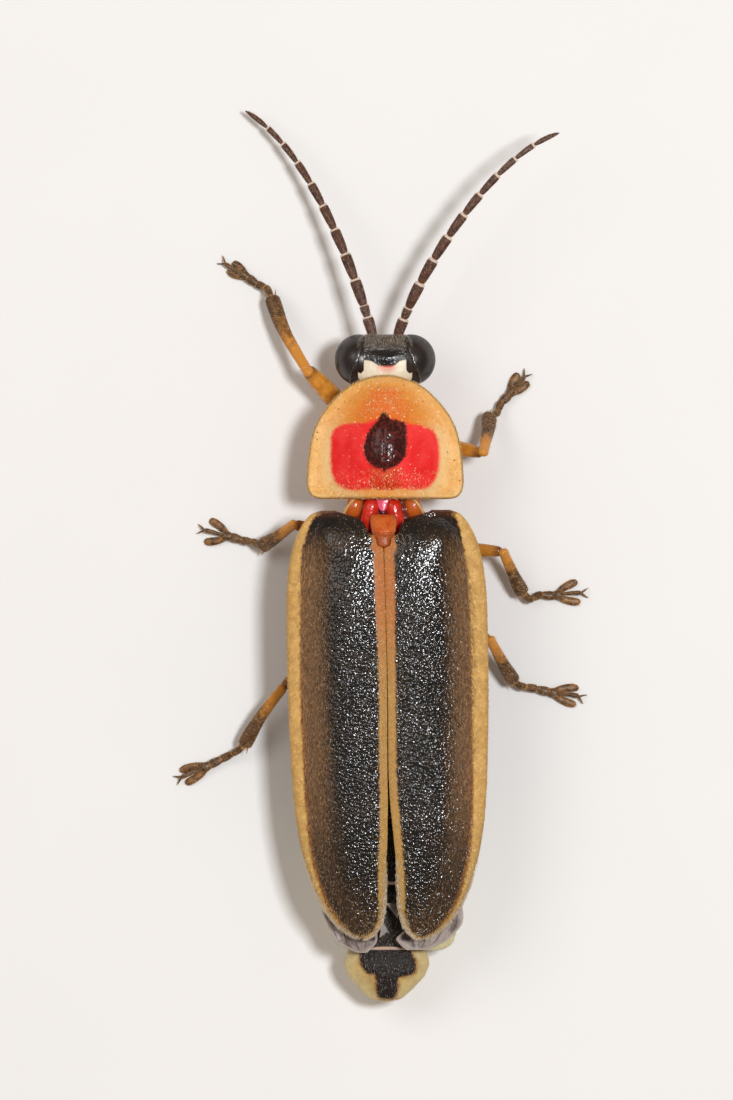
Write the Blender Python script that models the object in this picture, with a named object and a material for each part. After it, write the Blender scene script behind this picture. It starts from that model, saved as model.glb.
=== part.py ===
"""A male firefly, 14 mm long, standing with its antennae spread and its wing cases a little open.

Numbers are millimetres until a mesh is made. The head points to -Y, the insect's left is +X, and the
floor under its six feet is z = 0. Most pieces are lofts: a stack of closed rings, skinned and capped.
"""

from math import cos, pi, radians, sin, sqrt

import bmesh
import bpy
from mathutils import Matrix, Vector

MM = 0.001
GAP = 0.04  # the thin cut between neighbouring pieces

# Body along Y
HEAD_FRONT = -4.62
NECK = -3.14
SHIELD_FRONT = -3.76
SHIELD_REAR = -1.17
CASES_FRONT = -0.94
CASES_REAR = 8.05
WINGS_FRONT = -0.20
WINGS_REAR = 8.30
TAIL_FRONT = 8.30
TAIL_TIP = 9.358

# Heights and thicknesses
CREST = 3.00  # top of the wing cases
CASE_THICK = 0.45
CASE_THINS = 0.10  # how much thinner a wing case is at its outer rim
SHIELD_THICK = 0.34
SHIELD_THINS = 0.12
WING_THICK = 0.42
WING_THIN = 0.34  # where the folded wings come out behind their cases
WING_DROOP = 0.3  # how steeply they slope there
SEAM_DIP = 0.05  # how far a wing case drops towards the seam between the two
SEAM_REACH = 0.3  # share of its width that is level or drops to the seam
FALL_POWER = 2.2  # how late the rest falls away to the outer rim
RIM_START = 0.86  # share of the shield's half width where its dome meets the flat rim
DOME_POWER = 1.15
BACK_READ_AT = (0.3, 1.0, 1.3)  # distances from the midline where the belly is fitted under the wings

# How many rings each loft has
SHIELD_STATIONS = 14
CASE_STATIONS = 18
WING_STATIONS = 11
TAIL_STATIONS = 7
EYE_STATIONS = 7
EYE_SIDES = 18

# Profiles: (place along Y, size) pairs, read by a smooth curve through them
SHIELD_HALF = ((SHIELD_FRONT, 0.10), (-3.70, 0.42), (-3.50, 0.85), (-3.10, 1.24), (-2.60, 1.50),
               (-2.00, 1.61), (-1.50, 1.64), (-1.30, 1.60), (-1.21, 1.51), (SHIELD_REAR, 1.32))
SHIELD_CREST = ((SHIELD_FRONT, 2.36), (-3.00, 2.68), (-2.20, 2.84), (-1.50, 2.80), (SHIELD_REAR, 2.70))
SHIELD_EDGE = ((SHIELD_FRONT, 2.33), (-3.00, 2.14), (-2.20, 2.02), (-1.50, 2.04), (SHIELD_REAR, 2.16))

CASE_OUTER = ((CASES_FRONT, 1.34), (-0.88, 1.54), (-0.70, 1.70), (-0.40, 1.86), (0.10, 2.00),
              (1.00, 2.07), (2.40, 2.06), (3.90, 2.01), (5.15, 1.935), (6.00, 1.82), (6.60, 1.65),
              (7.20, 1.42), (7.60, 1.18), (7.85, 0.95), (8.00, 0.73), (CASES_REAR, 0.58))
CASE_INNER = ((CASES_FRONT, 0.42), (-0.85, 0.32), (-0.45, 0.27), (-0.20, 0.17), (-0.03, 0.02),
              (0.20, 0.003), (4.60, 0.003), (6.90, 0.03), (7.50, 0.07), (7.80, 0.16), (7.98, 0.31),
              (CASES_REAR, 0.45))
CASE_CREST = ((CASES_FRONT, 2.62), (-0.70, 2.82), (0.00, 2.93), (2.50, CREST), (5.00, 2.92),
              (7.00, 2.68), (CASES_REAR, 2.42))
CASE_FALL = ((CASES_FRONT, 0.40), (-0.30, 0.72), (2.50, 0.82), (5.50, 0.72), (7.00, 0.42),
             (CASES_REAR, 0.12))
CASE_DEPTH = ((CASES_FRONT, 0.28), (0.60, CASE_THICK), (CASES_REAR, CASE_THICK))

WING_OUTER = ((WINGS_FRONT, 0.90), (0.40, 1.30), (2.50, 1.50), (5.50, 1.50), (7.30, 1.38),
              (7.80, 1.29), (8.12, 1.03), (WINGS_REAR, 0.62))
WING_INNER = ((WINGS_FRONT, 0.34), (0.60, 0.04), (7.20, 0.05), (7.80, 0.17), (8.12, 0.34),
              (WINGS_REAR, 0.52))
WING_DEPTH = ((WINGS_FRONT, WING_THICK), (6.00, WING_THICK), (WINGS_REAR, WING_THIN))

# Rings of the trunk: place along Y, half width, lowest and highest point
HEAD_RINGS = ((HEAD_FRONT, 0.33, 1.30, 1.78), (-4.57, 0.43, 1.12, 1.92), (-4.44, 0.49, 0.99, 2.02),
              (-4.15, 0.50, 0.93, 2.08), (-3.80, 0.50, 0.98, 2.06), (-3.50, 0.47, 1.06, 1.99),
              (NECK, 0.42, 1.14, 1.90))
PROTHORAX_RINGS = ((-3.10, 0.44, 1.08), (-2.80, 0.60, 0.96), (-2.20, 0.74, 0.90), (-1.60, 0.78, 0.92),
                   (-1.20, 0.72, 1.00))
MESONOTUM_RINGS = ((-1.14, 0.78, 2.02, 2.24), (-0.98, 0.84, 2.00, 2.29), (-0.84, 0.78, 1.99, 2.27),
                   (-0.30, 0.50, 1.99, 2.22))
SCUTELLUM_RINGS = ((-0.86, 0.25, 2.31, 2.52), (-0.74, 0.27, 2.31, 2.66), (-0.48, 0.23, 2.33, 2.77),
                   (-0.38, 0.15, 2.34, 2.79), (-0.22, 0.12, 2.36, 2.80), (-0.14, 0.05, 2.42, 2.76))
PTEROTHORAX_RINGS = ((-1.14, 0.66, 1.06, 1.90), (-0.70, 1.02, 0.88, 1.94), (0.10, 1.28, 0.80, 1.96),
                     (1.10, 1.40, 0.78, 1.96), (1.76, 1.42, 0.82, 1.94))

# The belly's plates: name, first and last place, half widths, lowest points, cut of the hind corners
BELLY_PLATES = (("abdomen_front", 1.80, 3.72, 1.42, 1.52, 0.84, 0.76, 0.03),
                ("abdomen_middle", 3.76, 5.50, 1.49, 1.54, 0.79, 0.76, 0.03),
                ("lantern_front", 5.54, 6.88, 1.51, 1.51, 0.79, 0.79, 0.05),
                ("lantern_rear", 6.92, 8.26, 1.48, 1.40, 0.82, 0.88, 0.42))
PLATE_PLACES = (0.0, 0.35, 0.72, 0.92, 1.0)  # shares of a plate's length that carry a ring
PLATE_STEPS = (0.0, 0.015, 0.04, 0.05, 0.03)  # how far it stands out there, over the next plate
CORNER_SHARES = (0.0, 0.0, 0.12, 0.55, 1.0)  # how much of its hind corners is gone there
TAIL_HALF = ((TAIL_FRONT, 0.84), (8.46, 0.91), (8.70, 0.86), (9.00, 0.62), (9.20, 0.42),
             (TAIL_TIP, 0.20))
TAIL_TOP = ((TAIL_FRONT, 1.42), (8.60, 1.44), (TAIL_TIP, 1.22))
TAIL_LOW = ((TAIL_FRONT, 0.96), (TAIL_TIP, 1.02))
TAIL_ROUND = 0.05  # from the last ring to the tip
TAIL_TIP_DROP = 0.12  # the tip lies this far under the top

# Eyes
EYE_CENTRE = (0.54, -4.09, 1.50)
EYE_RADII = (0.51, 0.53, 0.60)

# Mouth: the middle line of the left sickle jaw and of the left feeler beside it, and their radii
JAW_PATH = ((0.24, -4.42, 0.88), (0.34, -4.50, 0.76), (0.32, -4.55, 0.62), (0.18, -4.57, 0.53),
            (0.05, -4.58, 0.50))
JAW_RADII = (0.09, 0.09, 0.075, 0.055, 0.03)
PALP_PATH = ((0.30, -4.08, 0.86), (0.40, -4.14, 0.74), (0.44, -4.26, 0.60), (0.46, -4.38, 0.48),
             (0.46, -4.44, 0.38))
PALP_RADII = (0.10, 0.11, 0.12, 0.14, 0.10)

# Antennae: the lengths of the eleven joints, and the curve that each antenna lies along
ANTENNA_JOINTS = (0.377, 0.240, 0.570, 0.565, 0.555, 0.555, 0.525, 0.525, 0.495, 0.465, 0.585)
ANTENNA_NODES = (("scape", 0, 1), ("pedicel", 1, 2), ("base", 2, 5), ("middle", 5, 8), ("tip", 8, 11))
ANTENNA_RADII = (0.25, 0.20)
ANTENNA_SWELL = 0.09  # a joint is widest this far from its far end
ANTENNA_ENDS = (0.84, 0.88)  # and this much narrower at its two ends
CURVE_STEPS = 400
ANTENNA_CURVES = {
    "left": ((0.27, -4.66, 1.66), (0.64, -5.93, 1.55), (1.56, -8.52, 0.80), (2.93, -9.34, 0.42)),
    "right": ((-0.29, -4.66, 1.66), (-0.60, -5.76, 1.95), (-2.27, -8.41, 2.35), (-3.61, -8.80, 2.00)),
}

# Legs, as posed: coxa root, hip, knee, ankle, then the foot's middle and its tip
LEGS = {
    "front_left": ((0.20, -2.58, 0.64), (0.56, -2.76, 0.56), (1.66, -3.92, 1.22),
                   (2.39, -5.49, 0.44), (3.06, -5.95), (3.47, -6.09)),
    "front_right": ((-0.20, -2.50, 0.66), (-0.58, -2.44, 0.56), (-2.05, -2.14, 1.42),
                    (-2.18, -2.96, 0.44), (-2.59, -3.36), (-2.99, -3.85)),
    "middle_left": ((0.24, -0.20, 0.56), (0.60, -0.22, 0.46), (1.90, -0.66, 1.16),
                    (2.64, -0.19, 0.44), (3.30, -0.41), (3.92, -0.55)),
    "middle_right": ((-0.24, -0.20, 0.56), (-0.60, -0.20, 0.46), (-2.48, -0.08, 1.10),
                     (-2.91, 0.82, 0.44), (-3.67, 0.83), (-4.22, 0.70)),
    "hind_left": ((0.24, 1.30, 0.50), (0.66, 1.36, 0.46), (2.16, 2.79, 1.02),
                  (2.98, 4.04, 0.44), (3.81, 4.47), (4.42, 4.71)),
    "hind_right": ((-0.24, 1.30, 0.50), (-0.66, 1.34, 0.46), (-2.20, 1.75, 1.22),
                   (-2.73, 2.68, 0.44), (-3.62, 2.90), (-4.20, 2.94)),
}
SHIN_BOW = {"front_left": -0.08, "front_right": 0.03, "middle_left": -0.03, "middle_right": 0.02,
            "hind_left": 0.05, "hind_right": 0.02}
COXA_RADII = ((0.0, 0.20), (0.25, 0.25), (0.8, 0.24), (1.0, 0.20))
FEMUR_RADII = ((0.0, 0.21), (0.30, 0.27), (0.70, 0.25), (1.0, 0.21))
TIBIA_RADII = ((0.0, 0.20), (0.15, 0.23), (0.75, 0.25), (1.0, 0.22))
FOOT_JOINTS = ((0.00, 0.18), (0.17, 0.23), (0.19, 0.19), (0.34, 0.23), (0.36, 0.19), (0.50, 0.24),
               (0.54, 0.21), (0.68, 0.31), (0.80, 0.36), (0.86, 0.33), (0.85, 0.22), (1.00, 0.13))
FOOT_LEVELS = ((0.00, 0.80), (0.06, 1.00), (0.60, 1.00), (1.00, 0.66))  # share of height, of width
FOOT_HIGH = (0.46, 0.34)
HEEL_AHEAD = 0.15  # from the shin's end to the heel
FOOT_SIGHT = 0.02  # share of the foot over which its direction is read
BALL_ANGLES = (radians(35), radians(65))  # the rings that round off a limb's ball end

# How far the closed outlines of the two sides are turned about their hinges
HINGE = (0.70, -0.75)
CASE_TURN = {"left": radians(0.35), "right": radians(1.6)}

COLOURS = {
    "shell": ((0.030, 0.022, 0.018), 0.35),
    "shield": ((0.80, 0.42, 0.12), 0.35),
    "eye": ((0.012, 0.009, 0.010), 0.12),
    "head": ((0.55, 0.50, 0.40), 0.40),
    "amber": ((0.45, 0.19, 0.04), 0.35),
    "brown": ((0.12, 0.055, 0.030), 0.40),
    "flesh": ((0.55, 0.06, 0.03), 0.35),
    "belly": ((0.050, 0.035, 0.028), 0.45),
    "lantern": ((0.80, 0.74, 0.50), 0.45),
    "wing": ((0.16, 0.14, 0.16), 0.50),
}


def finish(name):
    """The plain material called name in COLOURS, made once."""
    if name in bpy.data.materials:
        return bpy.data.materials[name]
    material = bpy.data.materials.new(name)
    material.use_nodes = True
    shader = material.node_tree.nodes["Principled BSDF"]
    colour, roughness = COLOURS[name]
    shader.inputs["Base Color"].default_value = (*colour, 1.0)
    shader.inputs["Roughness"].default_value = roughness
    shader.inputs["Metallic"].default_value = 0.0
    return material


def profile(pairs, place):
    """The value at place of a smooth curve through (place, value) pairs, which never overshoots them."""
    secants = [(b[1] - a[1]) / (b[0] - a[0]) for a, b in zip(pairs, pairs[1:])]
    inner = [2 * p * q / (p + q) if p * q > 0 else 0.0 for p, q in zip(secants, secants[1:])]
    slopes = [secants[0], *inner, secants[-1]]
    i = 0
    while i < len(secants) - 1 and place > pairs[i + 1][0]:
        i += 1
    (start, first), (end, last) = pairs[i], pairs[i + 1]
    span = end - start
    f = (place - start) / span
    rise = first + (3 - 2 * f) * f * f * (last - first)
    return rise + f * (1 - f) * span * ((1 - f) * slopes[i] - f * slopes[i + 1])


def spaced(start, end, count):
    """Places from start to end that crowd towards both ends, where an outline turns fastest."""
    return [start + (end - start) * (0.5 - 0.5 * cos(pi * i / (count - 1))) for i in range(count)]


def skinned(mesh, rings):
    """The rings' points as loops of vertices in the mesh, each joined to the next by a band of faces."""
    loops = [[mesh.verts.new(Vector(p) * MM) for p in ring] for ring in rings]
    count = len(loops[0])
    for lower, upper in zip(loops, loops[1:]):
        for i in range(count):
            j = (i + 1) % count
            mesh.faces.new((lower[i], lower[j], upper[j], upper[i]))
    return loops


def solid(name, rings, colour, tips=(None, None)):
    """One closed body from rings of points, each end drawn to its tip or to the ring's own middle."""
    mesh = bmesh.new()
    loops = skinned(mesh, rings)
    count = len(rings[0])
    for loop, ring, tip in ((loops[0], rings[0], tips[0]), (loops[-1], rings[-1], tips[1])):
        middle = sum((Vector(p) for p in ring), Vector()) / count
        pole = mesh.verts.new(Vector(tip or middle) * MM)
        for i in range(count):
            mesh.faces.new((loop[i], loop[(i + 1) % count], pole))
    return finished(name, mesh, colour)


def slab(name, tops, lows, colour):
    """A curved plate, from rows of points along its top and rows right under them."""
    rings = [top + low[::-1] for top, low in zip(tops, lows)]
    middle = len(tops[0]) // 2
    tips = [(Vector(tops[end][middle]) + Vector(lows[end][middle])) / 2 for end in (0, -1)]
    solid(name, rings, colour, tips)


def finished(name, mesh, colour):
    """The object of a bmesh, facing out, shaded smooth and in its colour."""
    bmesh.ops.recalc_face_normals(mesh, faces=mesh.faces)
    data = bpy.data.meshes.new(name)
    mesh.to_mesh(data)
    mesh.free()
    data.shade_smooth()
    data.set_sharp_from_angle(angle=radians(50))
    data.materials.append(finish(colour))
    made = bpy.data.objects.new(name, data)
    bpy.context.scene.collection.objects.link(made)
    return made


def body_ring(place, half, low, high, count=18, boxy=0.85):
    """A ring across the body: an ellipse whose corners a boxy power below 1 squares off."""
    ring = []
    for i in range(count):
        angle = 2 * pi * i / count
        x, z = cos(angle), sin(angle)
        x = half * abs(x) ** boxy * (1 if x > 0 else -1)
        z = abs(z) ** boxy * (1 if z > 0 else -1)
        ring.append((x, place, (low + high) / 2 + z * (high - low) / 2))
    return ring


def shield_top(place, across):
    """Height of the neck shield: a low dome with a flat, thin rim; across runs from -1 to 1."""
    crest = profile(SHIELD_CREST, place)
    edge = profile(SHIELD_EDGE, place)
    reach = min(1.0, abs(across) / RIM_START)
    return crest + (edge - crest) * (0.5 - 0.5 * cos(pi * reach ** DOME_POWER))


def shield_depth(across):
    return SHIELD_THICK - SHIELD_THINS * across ** 2


def make_shield():
    steps = [-1 + 2 * i / 12 for i in range(13)]
    tops, lows = [], []
    for place in spaced(SHIELD_FRONT, SHIELD_REAR, SHIELD_STATIONS):
        half = profile(SHIELD_HALF, place)
        tops.append([(half * u, place, shield_top(place, u)) for u in steps])
        lows.append([(half * u, place, shield_top(place, u) - shield_depth(u)) for u in steps])
    slab("pronotum", tops, lows, "shield")


def case_top(place, across):
    """Height of a wing case: level by the seam, then down to its outer rim; across runs from 0 to 1."""
    crest = profile(CASE_CREST, place)
    seam = SEAM_DIP * max(0.0, 1 - across / SEAM_REACH) ** 2
    out = max(0.0, (across - SEAM_REACH) / (1 - SEAM_REACH))
    return crest - seam - profile(CASE_FALL, place) * out ** FALL_POWER


def case_depth(place, across):
    return profile(CASE_DEPTH, place) - CASE_THINS * across ** 2


def turned(side, point):
    """A point of the left side, mirrored for the right one, turned about the side's hinge."""
    sign = 1 if side == "left" else -1
    hinge = Vector((sign * HINGE[0], HINGE[1], 0))
    from_hinge = Vector((sign * point[0], point[1], 0)) - hinge
    moved = Matrix.Rotation(CASE_TURN[side], 3, "Z") @ from_hinge + hinge
    return (moved.x, moved.y, point[2])


def make_wing_case(side):
    steps = [i / 8 for i in range(9)]
    tops, lows = [], []
    for place in spaced(CASES_FRONT, CASES_REAR, CASE_STATIONS):
        inner, outer = profile(CASE_INNER, place), profile(CASE_OUTER, place)
        top = [(inner + (outer - inner) * u, place, case_top(place, u)) for u in steps]
        low = [(x, y, z - case_depth(place, u)) for (x, y, z), u in zip(top, steps)]
        tops.append([turned(side, p) for p in top])
        lows.append([turned(side, p) for p in low])
    slab("elytron_" + side, tops, lows, "shell")


def case_under(place, x):
    """Height of a wing case's underside at x, before it is turned."""
    place = min(max(place, CASES_FRONT), CASES_REAR)
    inner, outer = profile(CASE_INNER, place), profile(CASE_OUTER, place)
    across = min(max((x - inner) / (outer - inner), 0.0), 1.0)
    return case_top(place, across) - case_depth(place, across)


def wing_top(place, x):
    """A folded wing lies just under its case, and droops a little where it comes out behind."""
    return case_under(place, x) - GAP - WING_DROOP * max(0.0, place - CASES_REAR)


def make_hind_wing(side):
    steps = [i / 6 for i in range(7)]
    tops, lows = [], []
    for place in spaced(WINGS_FRONT, WINGS_REAR, WING_STATIONS):
        inner, outer = profile(WING_INNER, place), profile(WING_OUTER, place)
        across = [inner + (outer - inner) * u for u in steps]
        top = [(x, place, wing_top(place, x)) for x in across]
        low = [(x, y, z - profile(WING_DEPTH, place)) for x, y, z in top]
        tops.append([turned(side, p) for p in top])
        lows.append([turned(side, p) for p in low])
    slab("hindwing_" + side, tops, lows, "wing")


def make_head():
    rings = [body_ring(*ring, count=20, boxy=0.6) for ring in HEAD_RINGS]
    solid("head", rings, "head")


def make_eye(side):
    """A little over half an egg, flat where it sits against the head."""
    sign = 1 if side == "left" else -1
    centre, radii = Vector(EYE_CENTRE), EYE_RADII
    rings = []
    for i in range(EYE_STATIONS):
        angle = (pi / 2) * i / EYE_STATIONS
        out = centre.x + radii[0] * sin(angle)
        ring = []
        for j in range(EYE_SIDES):
            turn = 2 * pi * j / EYE_SIDES
            along = centre.y + radii[1] * cos(angle) * cos(turn)
            up = centre.z + radii[2] * cos(angle) * sin(turn)
            ring.append((sign * out, along, up))
        rings.append(ring)
    pole = (sign * (centre.x + radii[0]), centre.y, centre.z)
    solid("eye_" + side, rings, "eye", tips=(None, pole))


def ring_about(centre, along, radius, count):
    along = along.normalized()
    side = along.cross(Vector((0, 0, 1))).normalized() * radius
    up = side.cross(along)
    turns = [2 * pi * j / count for j in range(count)]
    return [centre + side * cos(turn) + up * sin(turn) for turn in turns]


def tube(name, path, radii, colour, count=10, hollow=0.0, ball=False):
    """A limb along a path. Its start can be hollowed like a socket, and its end can be a ball."""
    path = [Vector(p) for p in path]
    last = len(path) - 1
    rings = []
    for i, point in enumerate(path):
        along = path[min(i + 1, last)] - path[max(i - 1, 0)]
        rings.append(ring_about(point, along, radii[i], count))
    out = (path[-1] - path[-2]).normalized() * radii[-1]
    for angle in BALL_ANGLES if ball else ():
        rings.append(ring_about(path[-1] + out * sin(angle), out, radii[-1] * cos(angle), count))
    start = path[0] + (path[1] - path[0]).normalized() * hollow
    solid(name, rings, colour, tips=(start, path[-1] + out if ball else path[-1]))


def bezier(points, f):
    a, b, c, d = (Vector(p) for p in points)
    return a * (1 - f) ** 3 + b * 3 * f * (1 - f) ** 2 + c * 3 * f * f * (1 - f) + d * f ** 3


def make_antenna(side):
    """Eleven joints strung along a curve, each a little wider at its far end, in five nodes."""
    fine = [bezier(ANTENNA_CURVES[side], i / CURVE_STEPS) for i in range(CURVE_STEPS + 1)]
    gone = [0.0]
    for a, b in zip(fine, fine[1:]):
        gone.append(gone[-1] + (b - a).length)
    scale = gone[-1] / sum(ANTENNA_JOINTS)

    def at(distance):
        i = max(1, next((k for k, g in enumerate(gone) if g >= distance), CURVE_STEPS))
        f = (distance - gone[i - 1]) / (gone[i] - gone[i - 1])
        return fine[i - 1].lerp(fine[i], f)

    for part, first, last in ANTENNA_NODES:
        path, radii = [], []
        for joint in range(first, last):
            start = sum(ANTENNA_JOINTS[:joint]) * scale
            end = start + ANTENNA_JOINTS[joint] * scale
            near = start + (GAP / 2 if joint == first else 0.0)
            far = end - (GAP / 2 if joint == last - 1 else 0.0)
            along = joint / (len(ANTENNA_JOINTS) - 1)
            wide = ANTENNA_RADII[0] + (ANTENNA_RADII[1] - ANTENNA_RADII[0]) * along
            swell = far - ANTENNA_SWELL
            for place, size in ((near, ANTENNA_ENDS[0]), (swell, 1.0), (far, ANTENNA_ENDS[1])):
                path.append(at(place))
                radii.append(wide * size)
        tube(f"antenna_{side}_{part}", path, radii, "brown", count=8)


def bowed(start, end, bow, count):
    """Points from start to end that swell sideways by bow in the middle."""
    side = (end - start).cross(Vector((0, 0, 1))).normalized() * bow
    shares = [i / (count - 1) for i in range(count)]
    return [start.lerp(end, f) + side * sin(pi * f) for f in shares]


def socket_start(before, joint, end, reach, radius):
    """How far from a joint's middle the next limb starts, to clear the ball and the limb behind it."""
    bend = (before - joint).angle(end - joint)
    return max(sqrt(reach * reach - radius * radius), (reach + radius * cos(bend)) / sin(bend))


def limb(name, joints, sizes, colour, bow=0.0, ball_before=0.0, count=6):
    """A leg piece between the last two of three joints, socketed on the ball before it."""
    before, start, end = (Vector(p) for p in joints)
    hollow = 0.0
    if ball_before:
        reach = ball_before + GAP
        near = socket_start(before, start, end, reach, sizes[0][1])
        hollow = max(0.0, reach - near)
        start = start + (end - start).normalized() * near
    radii = [profile(sizes, i / (count - 1)) for i in range(count)]
    tube(name, bowed(start, end, bow, count), radii, colour, hollow=hollow, ball=not bow)


def make_foot(name, heel, middle, tip, colour):
    """Five foot joints as one flat-soled solid: an outline that flares at each joint, then two lobes."""
    a, b, c = Vector(heel), Vector(middle), Vector(tip)

    def centre(f):
        return a * (1 - f) ** 2 + (2 * b - (a + c) / 2) * 2 * f * (1 - f) + c * f ** 2

    outline = []
    for side, joints in ((1, FOOT_JOINTS), (-1, FOOT_JOINTS[::-1])):
        for f, half in joints:
            ahead = centre(min(f + FOOT_SIGHT, 1.0)) - centre(max(f - FOOT_SIGHT, 0.0))
            across = Vector((ahead.y, -ahead.x)).normalized()
            outline.append((centre(f), across * half * side, f))
    rings = []
    for level, share in FOOT_LEVELS:
        ring = []
        for point, offset, f in outline:
            high = FOOT_HIGH[0] + (FOOT_HIGH[1] - FOOT_HIGH[0]) * f
            spot = point + offset * share
            ring.append((spot.x, spot.y, level * high))
        rings.append(ring)
    mesh = bmesh.new()
    loops = skinned(mesh, rings)
    count = len(outline)
    for loop in (loops[0], loops[-1]):
        for i in range(count // 2 - 1):
            mesh.faces.new((loop[i], loop[i + 1], loop[count - 2 - i], loop[count - 1 - i]))
    finished(name, mesh, colour)


def make_leg(name):
    root, hip, knee, ankle, middle, tip = LEGS[name]
    limb(f"leg_{name}_coxa", (root, root, hip), COXA_RADII, "amber", count=4)
    limb(f"leg_{name}_femur", (root, hip, knee), FEMUR_RADII, "amber", ball_before=COXA_RADII[-1][1])
    limb(f"leg_{name}_tibia", (hip, knee, ankle), TIBIA_RADII, "brown", bow=SHIN_BOW[name],
         ball_before=FEMUR_RADII[-1][1])
    ahead = (Vector(middle) - Vector(ankle[:2])).normalized()
    heel = Vector(ankle[:2]) + ahead * HEEL_AHEAD
    make_foot(f"leg_{name}_tarsus", heel, middle, tip, "brown")


def make_trunk():
    rings = []
    for place, half, low in PROTHORAX_RINGS:
        reach = half / profile(SHIELD_HALF, place)
        high = shield_top(place, reach) - shield_depth(reach) - GAP
        rings.append(body_ring(place, half, low, high))
    solid("prothorax", rings, "amber")
    solid("mesonotum", [body_ring(*ring, boxy=0.6) for ring in MESONOTUM_RINGS], "flesh")
    solid("scutellum", [body_ring(*ring, count=14, boxy=0.8) for ring in SCUTELLUM_RINGS], "amber")
    solid("pterothorax", [body_ring(*ring) for ring in PTEROTHORAX_RINGS], "flesh")


def back_height(place):
    """The abdomen's top, just under the folded wings."""
    under = min(wing_top(place, x) for x in BACK_READ_AT)
    return under - profile(WING_DEPTH, place) - GAP


def make_abdomen():
    """Four plates that each overhang the next, then the tail shield."""
    for name, start, end, half_a, half_b, low_a, low_b, corner in BELLY_PLATES:
        rings = []
        for f, step, gone in zip(PLATE_PLACES, PLATE_STEPS, CORNER_SHARES):
            place = start + (end - start) * f
            half = half_a + (half_b - half_a) * f + step - corner * gone
            low = low_a + (low_b - low_a) * f - step
            rings.append(body_ring(place, half, low, back_height(place), count=22))
        solid(name, rings, "lantern" if name.startswith("lantern") else "belly")
    rings = []
    for place in spaced(TAIL_FRONT, TAIL_TIP - TAIL_ROUND, TAIL_STATIONS):
        half, low, high = (profile(table, place) for table in (TAIL_HALF, TAIL_LOW, TAIL_TOP))
        rings.append(body_ring(place, half, low, high))
    tip = (0.0, TAIL_TIP, profile(TAIL_TOP, TAIL_TIP) - TAIL_TIP_DROP)
    solid("pygidium", rings, "lantern", tips=(None, tip))


def make_mouth(side):
    """A sickle jaw that crosses the face, and the feeler of the upper jaw beside it."""
    sign = 1 if side == "left" else -1
    jaw = [(sign * x, y, z) for x, y, z in JAW_PATH]
    palp = [(sign * x, y, z) for x, y, z in PALP_PATH]
    tube("mandible_" + side, jaw, JAW_RADII, "amber", count=8)
    tube("palp_" + side, palp, PALP_RADII, "brown", count=8)


def main():
    for old in list(bpy.data.objects):
        bpy.data.objects.remove(old, do_unlink=True)
    make_head()
    make_shield()
    make_trunk()
    make_abdomen()
    for side in ("left", "right"):
        make_eye(side)
        make_mouth(side)
        make_antenna(side)
        make_wing_case(side)
        make_hind_wing(side)
    for name in LEGS:
        make_leg(name)


main()
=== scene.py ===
# %% [markdown]
# # A firefly at life size
#
# This script dresses the solids of a 14 mm beetle as the living insect. The solids come in as a fixed
# frame, and every piece below is measured from them. One way to do it would be to sculpt the insect by
# hand over the frame. Working it out in code keeps each edge where the frame has it, and makes every
# size easy to find and change. Lengths are millimetres until a mesh is made.

from math import cos, pi, radians, sin

import bmesh
import bpy
import numpy as np
from mathutils import Matrix, Vector
from mathutils.bvhtree import BVHTree


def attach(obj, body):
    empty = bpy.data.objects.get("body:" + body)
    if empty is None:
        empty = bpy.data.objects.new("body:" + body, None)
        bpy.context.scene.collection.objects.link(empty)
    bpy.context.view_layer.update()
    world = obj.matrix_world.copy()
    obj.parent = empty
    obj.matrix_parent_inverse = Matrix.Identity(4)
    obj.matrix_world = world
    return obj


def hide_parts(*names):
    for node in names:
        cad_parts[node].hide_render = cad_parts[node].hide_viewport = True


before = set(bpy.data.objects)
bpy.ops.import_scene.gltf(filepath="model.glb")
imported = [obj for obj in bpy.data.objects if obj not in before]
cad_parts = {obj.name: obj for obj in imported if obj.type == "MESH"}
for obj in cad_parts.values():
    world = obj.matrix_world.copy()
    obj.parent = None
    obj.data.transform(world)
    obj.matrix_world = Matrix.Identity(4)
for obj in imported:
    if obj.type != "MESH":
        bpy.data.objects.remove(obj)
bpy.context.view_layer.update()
MM = 0.001
UP = np.array([0.0, 0.0, 1.0])
FORWARD, BACK = np.array([0.0, -1.0, 0.0]), np.array([0.0, 1.0, 0.0])
SIDES = {"left": 1, "right": -1}  # each side, and the sign of X there

# %% [markdown]
# ## From arrays to pieces
#
# An insect's shell is made of thin, smooth plates and tubes. Each can be drawn as a grid of points,
# row after row, with a face between every four neighbours. Bevels and subdivision on hand-made cages
# would work too, but a grid gives the same even detail everywhere, and it unrolls onto a flat square
# for free, which later places the hairs.

# %% Collect lofts and turn them into one object
def put(items, field, values, kind=np.float32):
    """Writes one field of all points, corners or faces of a mesh."""
    items.foreach_set(field, values.astype(kind).ravel())


def got(items, field, width, kind=np.float32):
    """Reads one field of all points, corners or triangles of a mesh, as rows."""
    values = np.empty(len(items) * width, kind)
    items.foreach_get(field, values)
    return values.reshape(-1, width)


def grid_faces(rows, columns):
    """The four-sided faces of a tube of rings, and each face corner's place on a unit square."""
    i, j = (n.ravel() for n in np.meshgrid(np.arange(rows - 1), np.arange(columns), indexing="ij"))
    low, high, k = i * columns, (i + 1) * columns, (j + 1) % columns
    faces = np.stack([low + j, low + k, high + k, high + j], -1)
    left, right, near, far = j / columns, (j + 1) / columns, i / (rows - 1), (i + 1) / (rows - 1)
    flat = np.stack([left, near, right, near, right, far, left, far], -1).reshape(-1, 4, 2)
    return faces, flat


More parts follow.
